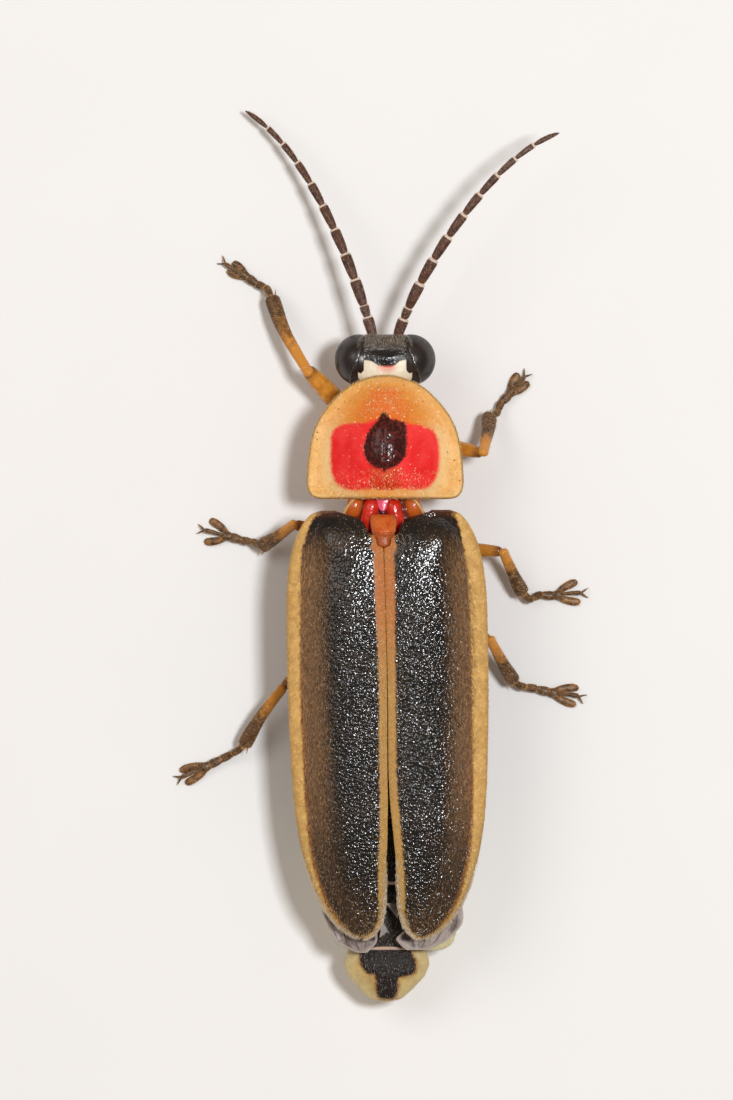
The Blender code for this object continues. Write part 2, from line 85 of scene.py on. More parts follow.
class Shape:
    """The lofts of one piece, each with marks: numbers on its points that its finish can read."""

    def __init__(self):
        self.lofts = []

    def add(self, grid, **marks):
        points = grid.reshape(-1, 3)
        faces, flat = grid_faces(*grid.shape[:2])
        a, b, c, d = (points[faces[:, n]] - points.mean(0) for n in range(4))
        if np.einsum("ij,ij->", a, np.cross(b, c)) + np.einsum("ij,ij->", a, np.cross(c, d)) < 0:
            faces, flat = faces[:, ::-1], flat[:, ::-1]  # the loft was inside out
        marks = {key: np.broadcast_to(value, grid.shape[:2]).ravel() for key, value in marks.items()}
        self.lofts.append((points, faces, flat, marks))
        return self

    def piece(self, name, finish, slot, *nodes):
        """One object from all lofts. Each loft keeps its own strip of the flat square."""
        points, faces, flat, marks = zip(*self.lofts)
        starts = np.cumsum([0] + [len(spots) for spots in points])
        faces = np.concatenate([quads + start for quads, start in zip(faces, starts)])
        flat = np.concatenate([(places + [0, n]) / [1, len(flat)] for n, places in enumerate(flat)])
        full = {}
        for key in sorted({key for loft in marks for key in loft}):
            full[key] = np.concatenate([loft.get(key, np.zeros(len(spots)))
                                        for loft, spots in zip(marks, points)])
        return made_piece(name, np.concatenate(points), [faces], flat.reshape(-1, 2), full, finish, slot,
                          *nodes)


def made_piece(name, points, faces, flat, marks, finish, slot, *nodes):
    """The object of points in millimetres and lists of faces, standing for the CAD nodes named."""
    mesh = bpy.data.meshes.new(name)
    corners = np.concatenate([f.ravel() for f in faces])
    sizes = np.concatenate([np.full(len(f), f.shape[1]) for f in faces])
    if len(flat) == len(points):  # places on the flat square of the points, not of the face corners
        flat = flat[corners]
    mesh.vertices.add(len(points))
    mesh.loops.add(len(corners))
    mesh.polygons.add(len(sizes))
    put(mesh.vertices, "co", points * MM)
    put(mesh.loops, "vertex_index", corners, np.int32)
    put(mesh.polygons, "loop_start", np.cumsum(sizes) - sizes, np.int32)
    mesh.update(calc_edges=True)
    mesh.shade_smooth()
    put(mesh.uv_layers.new(name="OFBake").data, "uv", flat)
    for key, values in marks.items():
        put(mesh.attributes.new(key, "FLOAT", "POINT").data, "value", values)
    mesh.materials.append(finish)
    thing = bpy.data.objects.new(name, mesh)
    bpy.context.scene.collection.objects.link(thing)
    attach(thing, "root")
    if nodes:
        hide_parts(*nodes)
    return thing


# %% [markdown]
# ## Reading shapes from the frame
#
# The solids of the frame are coarse on purpose. To dress one, its shape is felt with rays or cut with
# planes, and the readings are blurred a little, so that the flat facets of the solid don't show. A
# Remesh and a Smooth modifier could do this as well, but they would lose the sharp rims of the plates.

# %% Smooth curves and blurred grids
def curve(pairs, places):
    """Values at places of a smooth curve through (place, value) pairs, which never overshoots them."""
    knots, values = np.array(pairs, float).T
    secants = np.diff(values) / np.diff(knots)
    before, after = secants[:-1], secants[1:]
    total = np.where(before + after == 0, 1, before + after)
    inner = np.where(before * after > 0, 2 * before * after / total, 0)
    slopes = np.concatenate([secants[:1], inner, secants[-1:]])
    places = np.asarray(places, float)
    i = np.clip(np.searchsorted(knots, places) - 1, 0, len(secants) - 1)
    span = np.diff(knots)[i]
    f = np.clip((places - knots[i]) / span, 0, 1)
    rise = values[i] + (3 - 2 * f) * f * f * (values[i + 1] - values[i])
    return rise + f * (1 - f) * span * ((1 - f) * slopes[i] - f * slopes[i + 1])


def crowded(count, share=1.0):
    """Places from 0 to 1 that crowd towards both ends, as much as share says."""
    even = np.linspace(0, 1, count)
    return share * (0.5 - 0.5 * np.cos(pi * even)) + (1 - share) * even


def softened(grid, rows, columns, wrapped=False):
    """A grid blurred over so many rows and columns, without drawing in its open ends."""
    for axis, width in ((0, rows), (1, columns)):
        if not width:
            continue
        count = grid.shape[axis]
        reach = min(int(3 * width) + 1, count - 1)
        kernel = np.exp(-0.5 * (np.arange(-reach, reach + 1) / width) ** 2)
        if wrapped and axis == 1:
            padded = grid.take(np.arange(-reach, count + reach) % count, axis)
        else:
            head = 2 * grid.take([0], axis) - grid.take(range(reach, 0, -1), axis)
            tail = 2 * grid.take([-1], axis) - grid.take(range(count - 2, count - 2 - reach, -1), axis)
            padded = np.concatenate([head, grid, tail], axis)
        grid = sum(k * padded.take(range(i, i + count), axis) for i, k in enumerate(kernel))
        grid = grid / kernel.sum()
    return grid


def eased(value, low, high):
    """0 below low, 1 above high, and a soft rise between them."""
    f = np.clip((value - low) / (high - low), 0, 1)
    return f * f * (3 - 2 * f)


def hill(distance, width):
    """1 at no distance, and soon 0 beyond the width."""
    return np.exp(-((distance / width) ** 2))


def cubic_weights(count, places):
    """Rows of weights that read a smooth curve through count even steps, at places from 0 to 1."""
    spots = np.clip(places, 0, 1) * (count - 1)
    base = np.minimum(spots.astype(int), count - 2)
    f = spots - base
    shares = (-0.5 * f + f ** 2 - 0.5 * f ** 3, 1 - 2.5 * f ** 2 + 1.5 * f ** 3,
              0.5 * f + 2 * f ** 2 - 1.5 * f ** 3, -0.5 * f ** 2 + 0.5 * f ** 3)
    weights = np.zeros((len(places), count))
    for step, share in zip((-1, 0, 1, 2), shares):
        np.add.at(weights, (np.arange(len(places)), np.clip(base + step, 0, count - 1)), share)
    return weights


# %% Cut and feel the solids
HIGH_ABOVE = 50.0  # where rays that look down start
NUDGE = 0.004  # how far inside a solid's ends the first and last readings are taken
EDGE_READS = 61  # how often a plate's width is read
PLATE_READS = 121, 41  # how often its height is read, along it and across it
BODY_READS = 41, 96  # how often a body's radius is read, along it and round it


class Solid:
    """The shape of one CAD node in millimetres."""

    def __init__(self, node):
        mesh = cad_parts[node].data
        mesh.calc_loop_triangles()
        self.points = got(mesh.vertices, "co", 3).astype(float) / MM
        self.triangles = got(mesh.loop_triangles, "vertices", 3, np.int32)
        self.tree = BVHTree.FromPolygons(self.points.tolist(), self.triangles.tolist())
        self.low, self.high = self.points.min(0), self.points.max(0)

    def cut(self, point, across):
        """The points where the solid's edges pass through a plane."""
        over = (self.points - point) @ np.asarray(across, float)
        a = self.triangles.ravel()
        b = np.roll(self.triangles, -1, axis=1).ravel()
        crosses = over[a] * over[b] < 0
        a, b = a[crosses], b[crosses]
        share = (over[a] / (over[a] - over[b]))[:, None]
        return self.points[a] + share * (self.points[b] - self.points[a])

    def height(self, x, y):
        hit = self.tree.ray_cast(Vector((x, y, HIGH_ABOVE)), Vector((0, 0, -1)))[0]
        if hit is None:
            hit = self.tree.find_nearest(Vector((x, y, self.high[2])))[0]
        return hit.z

    def line(self):
        """The two ends of a limb's middle line."""
        centre = self.points.mean(0)
        along = np.linalg.svd(self.points - centre, full_matrices=False)[2][0]
        reach = (self.points - centre) @ along
        return centre + along * reach.min(), centre + along * reach.max()

    def middles(self, shares):
        """Points on the middle line of a limb that may be bent, at shares of its length."""
        start, end = self.line()
        along = (end - start) / np.linalg.norm(end - start)
        side = np.cross(along, UP)
        side /= np.linalg.norm(side)
        rise = np.cross(side, along)
        found = []
        for share in shares:
            place = start + (end - start) * share
            ring = self.cut(place, along)
            for way in (side, rise):
                reach = (ring - place) @ way
                place = place + way * (reach.min() + reach.max()) / 2
            found.append(place)
        return np.array(found)


def rounded_outline(edges, radius, step=0.02):
    """The edges in plan of a plate with rounded corners: (places along Y, x) of its two sides."""
    path = np.vstack([edges[:, [1, 0]], edges[::-1, [2, 0]], edges[:1, [1, 0]]])
    gone = np.concatenate([[0], np.cumsum(np.linalg.norm(np.diff(path, axis=0), axis=1))])
    even = np.arange(0, gone[-1], step)
    path = np.stack([np.interp(even, gone, path[:, n]) for n in (0, 1)])
    x, y = softened(path, 0, radius / step, wrapped=True)
    first, last = np.argmin(y), np.argmax(y)
    order = np.roll(np.arange(len(y)), -first)
    turn = (last - first) % len(y)
    sides = order[:turn + 1], np.concatenate([order[turn:], order[:1]])[::-1]
    return [(np.maximum.accumulate(y[side]), x[side]) for side in sides]


def plate_grid(node, rows, columns, blur=(2.0, 2.0), mirrored=False, corner=0.05):
    """A plate's top as a grid: rows go along Y, and columns from its left edge to its right one."""
    solid = Solid(node)
    edges = []
    for y in solid.low[1] + NUDGE + (solid.high[1] - solid.low[1] - 2 * NUDGE) * crowded(EDGE_READS):
        xs = solid.cut((0, y, 0), (0, 1, 0))[:, 0]
        edges.append((y, xs.min(), xs.max()))
    sides = rounded_outline(np.array(edges), corner)
    ends = sides[0][0][0] + 0.001, sides[0][0][-1] - 0.001
    lattice = np.empty(PLATE_READS)
    for i, y in enumerate(np.linspace(*ends, PLATE_READS[0])):
        left, right = (np.interp(y, *edge) for edge in sides)
        for j, u in enumerate(np.linspace(0.01, 0.99, PLATE_READS[1])):
            lattice[i, j] = solid.height(left + (right - left) * u, y)
    lattice = softened(lattice, *blur)
    v, u = crowded(rows, 0.85), crowded(columns, 0.6)
    if mirrored:
        u = 1 - u
    ys = ends[0] + (ends[1] - ends[0]) * v
    left, right = (np.interp(ys, *edge)[:, None] for edge in sides)
    x = left + (right - left) * u
    z = cubic_weights(PLATE_READS[0], v) @ lattice @ cubic_weights(PLATE_READS[1], u).T
    return np.stack([x, np.broadcast_to(ys[:, None], x.shape), z], -1)


def body_grid(node, rows, around, blur=(1.5, 2.0), cap=0.06):
    """A closed body as rings around Y, felt from its own middle. Its two ends are rounded off."""
    solid = Solid(node)
    ends = solid.low[1] + NUDGE, solid.high[1] - NUDGE
    steps, round_steps = BODY_READS
    middles, lattice = [], np.empty(BODY_READS)
    for i, y in enumerate(np.linspace(*ends, steps)):
        ring = solid.cut((0, y, 0), (0, 1, 0))
        x, z = ((ring[:, n].min() + ring[:, n].max()) / 2 for n in (0, 2))
        middles.append((x, z))
        for j in range(round_steps):
            turn = 2 * pi * j / round_steps
            hit = solid.tree.ray_cast(Vector((x, y, z)), Vector((cos(turn), 0, sin(turn))))[0]
            lattice[i, j] = (hit - Vector((x, y, z))).length if hit else lattice[i, j - 1]
    lattice = softened(lattice, *blur, wrapped=True)
    middles = softened(np.array(middles), 1.5, 0)
    length = ends[1] - ends[0]
    v = crowded(rows, 0.5)
    near = np.minimum(v, 1 - v) * length
    rounding = np.sqrt(np.clip(1 - (1 - np.minimum(near / cap, 1)) ** 2, 0, 1))
    reads = cubic_weights(steps, v)
    turns = 2 * pi * np.arange(around) / around
    wrapped = np.concatenate([lattice, lattice[:, :1]], 1)
    radius = reads @ wrapped @ cubic_weights(round_steps + 1, np.arange(around) / around).T
    radius = radius - (1 - rounding)[:, None] * np.minimum(cap, np.median(radius, 1)[:, None])
    radius = np.vstack([radius[:1] * 0, radius[:1] * 0.6, radius, radius[-1:] * 0.6, radius[-1:] * 0])
    centres = reads @ middles
    centres = np.vstack([centres[:1], centres[:1], centres, centres[-1:], centres[-1:]])
    ys = ends[0] + length * np.concatenate([[0, 0], v, [1, 1]])
    x = centres[:, :1] + radius * np.cos(turns)
    z = centres[:, 1:] + radius * np.sin(turns)
    return np.stack([x, np.broadcast_to(ys[:, None], x.shape), z], -1)


def tucked(grid, reach, thinner=0.10):
    """A body plate whose front end goes on, a little thinner, under the plate before it."""
    start = grid[..., 1].min()
    share = 1 - eased(grid[..., 1], start, start + 0.12)
    made = grid.copy()
    centre = grid.mean(1, keepdims=True)
    for n in (0, 2):
        made[..., n] += (centre[..., n] - grid[..., n]) * thinner * share
    made[..., 1] -= reach * share
    return made


# %% [markdown]
# ## Distances on a plate
#
# Nearly every marking on this insect follows an edge: a tan border of some width, a red patch, a dark
# spot. Painting them by hand on an image would work, but stored distances are sharper at any zoom. Each
# plate point gets its distance to an outline as a number, and the finish turns it into a soft border.

# %% How far points are from outlines
def distance_to(path, places):
    """How far places are, in plan, from a path of straight steps."""
    flat = places.reshape(-1, places.shape[-1])[:, :2]
    nearest = np.full(len(flat), np.inf)
    for a, b in zip(path[:-1], path[1:]):
        step = b - a
        share = np.clip((flat - a) @ step / max(step @ step, 1e-12), 0, 1)
        nearest = np.minimum(nearest, ((flat - a - share[:, None] * step) ** 2).sum(1))
    return np.sqrt(nearest).reshape(places.shape[:-1])


def depth_in(corners, places):
    """How deep places lie, in plan, inside a closed shape, and minus their distance outside it."""
    path = np.vstack([corners, corners[:1]])
    x, y = places[..., 0], places[..., 1]
    inside = np.zeros(x.shape, bool)
    for a, b in zip(path[:-1], path[1:]):
        rise = (b[1] - a[1]) or 1e-12
        inside ^= ((a[1] > y) != (b[1] > y)) & (x < a[0] + (y - a[1]) * (b[0] - a[0]) / rise)
    apart = distance_to(path, places)
    return np.where(inside, apart, -apart)


def swept(corners, times):
    """A closed shape with its corners cut again and again, until it is a smooth curve."""
    corners = np.array(corners, float)
    for _ in range(times):
        after = np.roll(corners, -1, axis=0)
        corners = np.stack([0.75 * corners + 0.25 * after, 0.25 * corners + 0.75 * after], 1)
        corners = corners.reshape(-1, 2)
    return corners


def outline(grid, step=3):
    """A grid's border in plan, once round."""
    parts = grid[::step, 0], grid[-1, ::step], grid[::-step, -1], grid[0, ::-step]
    path = np.vstack([part[:, :2] for part in parts])
    return np.vstack([path, path[:1]])


def thin_plate(grid, rim, curl, wall, thick, every=5, /, **marks):
    """Rings round a thin plate: its top, curled down at the rim, and back along its underside."""
    off = np.clip(1 - rim / curl, 0, 1)
    top = grid.copy()
    top[..., 2] -= wall * (1 - np.sqrt(1 - off ** 2))
    under = top[:, ::-every].copy()
    under[..., 2] -= thick * eased(rim[:, ::-every], 0, 2 * curl)
    marks = {key: np.concatenate([mark, mark[:, ::-every]], 1) for key, mark in marks.items()}
    return Shape().add(np.concatenate([top, under], 1), **marks)


# %% [markdown]
# ## Limbs
#
# Legs, feelers and jaws are tubes that swell and bend. A curve with a bevel makes a quick tube, but its
# section stays round. Here each ring is an ellipse with its own width and height, since an insect's
# shins and feeler joints are flat.

# %% Rings along a path
def tube_grid(path, wide, high, around=24, up=UP):
    """Rings of an ellipse along a path of points. wide and high are half sizes, one for each point."""
    along = np.gradient(path, axis=0)
    along /= np.linalg.norm(along, axis=1)[:, None]
    side = np.cross(along, up)
    side /= np.linalg.norm(side, axis=1)[:, None]
    rise = np.cross(side, along)
    turns = (2 * pi * np.arange(around) / around)[:, None]
    wide, high = (np.broadcast_to(n, len(path))[:, None, None] for n in (wide, high))
    ring = side[:, None] * np.cos(turns) * wide + rise[:, None] * np.sin(turns) * high
    return path[:, None] + ring


def rounded_ends(shares, start=0.08, end=0.08):
    """A factor that takes a tube's size to nothing at both ends, as on a rounded rod."""
    off = np.maximum(np.clip(1 - shares / start, 0, 1), np.clip(1 - (1 - shares) / end, 0, 1))
    return np.sqrt(np.clip(1 - off ** 2, 0, 1))


def bent(points, shares):
    """A smooth curve through three points or more, read at shares of its length."""
    points = np.array(points, float)
    gone = np.concatenate([[0], np.cumsum(np.linalg.norm(np.diff(points, axis=0), axis=1))])
    gone /= gone[-1]
    return np.stack([curve(list(zip(gone, points[:, n])), shares) for n in range(3)], -1)


def ordered(node, start, shares):
    """Points on a limb's middle line, starting at the end that is nearer to a point."""
    solid = Solid(node)
    ends = solid.line()
    shares = np.asarray(shares, float)
    if np.linalg.norm(ends[1] - start) < np.linalg.norm(ends[0] - start):
        shares = 1 - shares
    return solid.middles(shares)


def limb_piece(name, path, wide, high, finish, slot, node, far, around=24):
    """A limb that is one tube. Its mark far goes along it."""
    return Shape().add(tube_grid(path, wide, high, around), far=far[:, None]).piece(name, finish, slot, node)


# %% [markdown]
# ## Hairs
#
# A firefly is covered in fine, short hairs that catch the light. Blender's hair system would grow them,
# but a model that has to leave Blender needs real triangles. Every hair here is a bent spike with three
# sides, leaning the way that hairs lie on that part of the body, and all hairs of a part are one mesh.

# %% Grow spikes on a piece
PATCH = 0.0015  # half the size of the spot that a hair takes on its skin's flat square


def roots_on(skin, count, rng, keep):
    """Random places on a piece: points, normals, and places on its flat square."""
    mesh = skin.data
    mesh.calc_loop_triangles()
    corners = got(mesh.loop_triangles, "vertices", 3, np.int32)
    loops = got(mesh.loop_triangles, "loops", 3, np.int32)
    points = got(mesh.vertices, "co", 3).astype(float) / MM
    flat = got(mesh.uv_layers["OFBake"].data, "uv", 2)
    a, b, c = (points[corners[:, n]] for n in range(3))
    normals = np.cross(b - a, c - a)
    weights = np.linalg.norm(normals, axis=1)
    normals = normals / np.maximum(weights, 1e-12)[:, None]
    if keep is not None:
        weights = weights * np.clip(keep((a + b + c) / 3, normals), 0, None)
    chosen = rng.choice(len(corners), count, p=weights / weights.sum())
    f, g = rng.random((2, count))
    over = f + g > 1
    f, g = np.where(over, 1 - f, f), np.where(over, 1 - g, g)
    shares = np.stack([1 - f - g, f, g], -1)[..., None]
    roots = (points[corners[chosen]] * shares).sum(1)
    return roots, normals[chosen], (flat[loops[chosen]] * shares).sum(1)


def hairs(name, skin, slot, finish, count, seed, lean, length, thick, rise, spread, keep=None):
    """One mesh of hairs on a piece. lean is the way that they lie, rise and spread are angles in degrees,
    and keep says how dense they are at a point with a normal."""
    rng = np.random.default_rng(seed)
    roots, normals, places = roots_on(skin, count, rng, keep)
    lying = lean - (lean * normals).sum(1)[:, None] * normals
    lying /= np.maximum(np.linalg.norm(lying, axis=1), 1e-9)[:, None]
    across = np.cross(normals, lying)
    turn = np.radians(rng.normal(0, spread, count))[:, None]
    lying = lying * np.cos(turn) + across * np.sin(turn)
    across = np.cross(normals, lying)
    lift = np.radians(rise) * rng.uniform(0.6, 1.4, count)[:, None]
    size = (length * rng.uniform(0.65, 1.2, count))[:, None]
    middle = roots + (lying * np.cos(lift) + normals * np.sin(lift)) * size * 0.5
    tip = middle + (lying * np.cos(lift * 0.2) + normals * np.sin(lift * 0.2)) * size * 0.5
    points, flat = [], []
    for centre, share, spot in ((roots - normals * thick, 1.0, 1.0), (middle, 0.75, 0.6)):
        for angle in (0, 2 * pi / 3, 4 * pi / 3):
            points.append(centre + (across * cos(angle) + normals * sin(angle)) * thick * share)
            flat.append(places + np.array([cos(angle), sin(angle)]) * PATCH * spot)
    points = np.stack([*points, tip], 1).reshape(-1, 3)
    points[:, 2] = np.maximum(points[:, 2], thick)
    flat = np.clip(np.stack([*flat, places], 1).reshape(-1, 2), 0, 1)
    base = 7 * np.arange(count)[:, None]
    quads = np.concatenate([base + [n, (n + 1) % 3, 3 + (n + 1) % 3, 3 + n] for n in range(3)])
    tips = np.concatenate([base + [3 + n, 3 + (n + 1) % 3, 6] for n in range(3)])
    marks = {"shade": np.repeat(rng.random(count), 7), "tip": np.tile([0, 0, 0, 0.5, 0.5, 0.5, 1.0], count)}
    return made_piece(name, points, [quads, tips], flat, marks, finish, slot)


# %% [markdown]
# ## Finishes
#
# A finish is a Principled shader fed by a few patterns. Wiring nodes by hand gets long, so a small class
# lets sockets take part in ordinary sums: writing 1 - mask adds the Math node. Patterns sit in object
# space, in real millimetres, so that grain and pits have their true size on every piece.

# %% Sockets that can be added and multiplied
class Wire:
    """An output socket of a finish, which can stand in an expression like a number."""

    def __init__(self, finish, socket):
        self.finish, self.socket = finish, socket

    def sum(self, operation, first, second):
        return self.finish.node("ShaderNodeMath", {"operation": operation}, {0: first, 1: second})

    def __add__(self, other):
        return self.sum("ADD", self, other)

    def __sub__(self, other):
        return self.sum("SUBTRACT", self, other)

    def __rsub__(self, other):
        return self.sum("SUBTRACT", other, self)

    def __mul__(self, other):
        return self.sum("MULTIPLY", self, other)

    __radd__, __rmul__ = __add__, __mul__


class Finish:
    """A material that is being made: a shader, its steady numbers, and the patterns that feed it."""

    def __init__(self, name, roughness=0.5, specular=0.5, clear=None):
        """clear: how much light goes under the skin, how far each colour spreads, and a factor in mm."""
        self.material = bpy.data.materials.new(name)
        self.material.use_nodes = True
        self.tree = self.material.node_tree
        self.shader = self.tree.nodes["Principled BSDF"]
        steady = {"Roughness": roughness, "Specular IOR Level": specular}
        if clear:
            steady["Subsurface Weight"], steady["Subsurface Radius"], depth = clear
            steady["Subsurface Scale"] = depth * MM
        for key, value in steady.items():
            self.shader.inputs[key].default_value = value

    def node(self, kind, settings, sockets, output=0):
        """Any node: its type, its settings, then a value or a wire for each of its sockets."""
        made = self.tree.nodes.new(kind)
        for key, value in settings.items():
            setattr(made, key, value)
        for key, value in sockets.items():
            if isinstance(value, Wire):
                self.tree.links.new(value.socket, made.inputs[key])
            else:
                made.inputs[key].default_value = value
        return Wire(self, made.outputs[output])

    def mark(self, name):
        return self.node("ShaderNodeAttribute", {"attribute_name": name}, {}, 2)

    def noise(self, size, detail=2.0, rough=0.5, stretch=None, warp=0.0):
        """Cloudy values around 0.5, with clouds of the given size in millimetres."""
        place = self.node("ShaderNodeTexCoord", {}, {}, 3)
        if stretch is not None:
            place = self.node("ShaderNodeVectorMath", {"operation": "MULTIPLY"}, {0: place, 1: stretch})
        sockets = {"Vector": place, "Scale": 1 / (size * MM), "Detail": detail, "Roughness": rough,
                   "Distortion": warp}
        return self.node("ShaderNodeTexNoise", {}, sockets)

    def cells(self, size):
        """Distance to the nearest of many scattered centres: 0 there, and about 0.5 between them."""
        place = self.node("ShaderNodeTexCoord", {}, {}, 3)
        return self.node("ShaderNodeTexVoronoi", {}, {"Vector": place, "Scale": 1 / (size * MM)})

    def step(self, value, low, high):
        """0 below low, 1 above high, and a soft rise between them."""
        return self.node("ShaderNodeMapRange", {"interpolation_type": "SMOOTHSTEP"},
                         {0: value, 1: low, 2: high})

    def mix(self, first, second, mask):
        """The first colour where the mask is 0, and the second where it is 1."""
        first, second = (c if isinstance(c, Wire) else (*c, 1.0) for c in (first, second))
        return self.node("ShaderNodeMix", {"data_type": "RGBA"}, {0: mask, 6: first, 7: second}, 2)

    def layers(self, colour, *layers):
        """A colour with others over it, each with its mask, or with a value and where its step lies."""
        for over, mask, *step in layers:
            colour = self.mix(colour, over, self.step(mask, *step) if step else mask)
        return colour

    def cloudy(self, first, second, size, low, high, detail=3.0, rough=0.5):
        """Clouds of two colours."""
        return self.mix(first, second, self.step(self.noise(size, detail, rough), low, high))

    def done(self, colour, relief=None, depth=0.0, roughness=None):
        """The material, once its colour, a relief of depth millimetres and its roughness feed the shader."""
        if relief is not None:
            relief = self.node("ShaderNodeBump", {}, {"Distance": depth * MM, "Height": relief})
        for key, wire in (("Base Color", colour), ("Normal", relief), ("Roughness", roughness)):
            if wire is not None:
                self.tree.links.new(wire.socket, self.shader.inputs[key])
        return self.material


# %% [markdown]
# ## Hair finishes
#
# Five kinds of hair grow on this insect: golden ones on the pale parts, brighter ones on the shield, brown
# ones on the dark parts, cream ones round the ends of the wing cases, and grey-white ones. Each hair has
# its own shade, since a coat is never one colour.

# %% Make the hair finishes
def hair_finish(name, root, tip, pale):
    f = Finish(name, 0.35)
    colour = f.mix(root, tip, f.mark("tip") * 0.7 + f.mark("shade") * 0.3)
    return f.done(f.layers(colour, (pale, f.mark("shade"), 0.8, 1.0)))


golden_hair = hair_finish("golden_hair", (0.55, 0.31, 0.09), (0.82, 0.58, 0.26), (0.92, 0.80, 0.56))
brown_hair = hair_finish("brown_hair", (0.16, 0.080, 0.034), (0.46, 0.26, 0.12), (0.74, 0.54, 0.32))
bright_hair = hair_finish("bright_golden_hair", (0.90, 0.48, 0.12), (1.0, 0.76, 0.36), (1.0, 0.90, 0.62))
cream_hair = hair_finish("cream_hair", (0.74, 0.56, 0.36), (0.88, 0.76, 0.58), (0.96, 0.90, 0.80))
pale_hair = hair_finish("pale_hair", (0.50, 0.38, 0.28), (0.78, 0.68, 0.58), (0.90, 0.85, 0.78))
print("hair finishes are made")

# %% [markdown]
# ## Wing cases
#
# The two wing cases are the beetle's hardened front wings: leathery, wrinkled and black, with a tan
# border all round and fine hair towards the outside. They could be one mirrored piece, but these two
# gape a little and their borders differ, so each is read from its own solid. The rim is curled down,
# and the border is a mark: the depth in millimetres inside the tan.

# %% Finish of the wing cases
def wing_case_finish():
    f = Finish("wrinkled_wing_case", specular=0.55)
    pale, outer, seam, along = (f.mark(name) for name in ("pale", "outer", "seam", "along"))
    wobble = (f.noise(0.08, 3.0, 0.6) - 0.5) * 0.11
    tan_mask = f.step(pale + wobble, -0.02, 0.035)
    rust_wide = 0.04 + 0.06 * f.step(seam, 0.3, 0.7) * f.step(along, 1.0, 4.0)
    ends = f.step(along, -0.65, 0.60) * (1 - 0.88 * f.step(along, 3.8, 6.8))
    fuzzy = (1 - f.step(outer + wobble * 3.5, 0.16, 1.0)) * ends
    streak = f.noise(0.028, 3.0, 0.6, stretch=(1.0, 0.22, 1.0))
    beside_seam = f.step(seam, 0.28, 0.40)
    # Painted glints: pale specks on the tan border stand for light caught by its fine grain, fewer beside the
    # seam.
    painted_glint_specks = f.step(f.cells(0.060), 0.34, 0.14) * f.step(f.noise(0.10, 2.0), 0.35, 0.60)
    black = f.layers(
        f.cloudy((0.004, 0.003, 0.002), (0.014, 0.008, 0.005), 0.5, 0.35, 0.7),
        ((0.53, 0.250, 0.090), fuzzy * (0.25 + 0.75 * f.step(streak, 0.40, 0.62))),
        ((0.065, 0.018, 0.008), 1 - f.step(along + wobble, -0.95, -0.72)),
        (f.mix((0.13, 0.042, 0.010), (0.36, 0.14, 0.028), f.step(streak, 0.35, 0.6)),
         pale + wobble + rust_wide, 0.0, 0.10))
    border = f.layers(
        f.cloudy((0.50, 0.27, 0.060), (0.68, 0.39, 0.105), 0.16, 0.3, 0.7, 3.0, 0.6),
        ((0.44, 0.225, 0.038), 1 - f.step(seam, 0.22, 0.40)),
        ((0.42, 0.255, 0.055), f.step(along, 4.5, 7.2) * 0.75),
        ((0.47, 0.125, 0.007), (1 - f.step(along, 0.6, 3.2)) * (1 - beside_seam)),
        # painted glints on the tan border
        ((0.95, 0.68, 0.30), painted_glint_specks * (0.35 + 0.3 * f.step(seam, 0.22, 0.40))))
    grain, worn = f.cells(0.062), f.step(along, -0.3, 2.4)
    relief = f.noise(0.15, 1.0, 0.5, warp=1.6) * (0.24 + 0.31 * worn) - grain * grain * (0.17 + 0.31 * worn)
    return f.done(f.mix(black, border, tan_mask), relief * (1 - tan_mask * 0.7), 0.040,
                  0.14 + 0.48 * tan_mask + 0.36 * fuzzy * (1 - tan_mask))


case_finish = wing_case_finish()
print("finish of the wing cases is made")

# %% Make the wing cases
# Each table holds pairs of a place along the body and the value there.
TAN_OUTER = {  # width of the tan border
    "left": ((-0.96, -0.05), (-0.82, 0.08), (-0.55, 0.16), (-0.10, 0.21), (0.94, 0.30), (2.80, 0.27),
             (5.15, 0.24), (6.20, 0.17), (6.85, 0.13), (7.45, 0.07), (8.05, 0.035)),
    "right": ((-0.96, -0.05), (-0.82, 0.10), (-0.55, 0.22), (-0.10, 0.32), (0.94, 0.38), (2.80, 0.36),
              (5.15, 0.27), (6.20, 0.18), (6.95, 0.12), (7.45, 0.07), (8.05, 0.035)),
}
TAN_INNER = ((-0.96, -0.06), (-0.56, -0.05), (-0.46, -0.02), (-0.38, 0.04), (-0.26, 0.10), (-0.10, 0.17),
             (0.10, 0.21), (0.60, 0.21), (1.00, 0.205), (2.00, 0.175), (6.90, 0.165), (7.50, 0.10),
             (8.05, 0.04))  # width of the tan border along the seam
SEAM_LINE = ((-0.96, 0.045), (-0.10, 0.03), (1.00, 0.0), (2.80, -0.045), (4.40, -0.055), (5.06, -0.075),
             (6.20, -0.12), (8.05, -0.14))  # middle of the seam
SEAM_HALF = ((-0.96, 0.60), (-0.55, 0.42), (-0.46, 0.31), (-0.40, 0.20), (-0.34, 0.16), (-0.22, 0.13),
             (-0.14, 0.004), (1.0, 0.004), (4.2, 0.009), (5.06, 0.020), (5.57, 0.048), (6.20, 0.09),
             (7.25, 0.60), (8.05, 0.60))  # the greatest gap between a case and the seam
SEAM_LEAST = ((-1.00, 1.05), (-0.93, 0.98), (-0.874, 0.82), (-0.79, 0.57), (-0.72, 0.45), (-0.60, 0.36),
              (-0.47, 0.31), (-0.41, 0.20), (-0.34, 0.0), (8.05, 0.0))  # the least, which rounds the corners
SHOULDER = (1.22, -0.42)  # place of the bump at a wing case's front corner
SEAM_FLAT = 0.09  # counts as distance from the rim at the seam, where the case hardly curls down
SHORTER = 0.075  # how much the tips of the cases are drawn in
FLANGE, FLANGE_SLOPE = 0.30, 0.40  # width of the flattened outer border, and its steepness
FLANGE_FROM = -0.45  # in front of this place the border stays at one height
CASE_CURL, CASE_WALL, CASE_THICK = 0.07, 0.08, 0.10  # width of the curled rim, its drop, and the plate
case_grids, cases = {}, {}
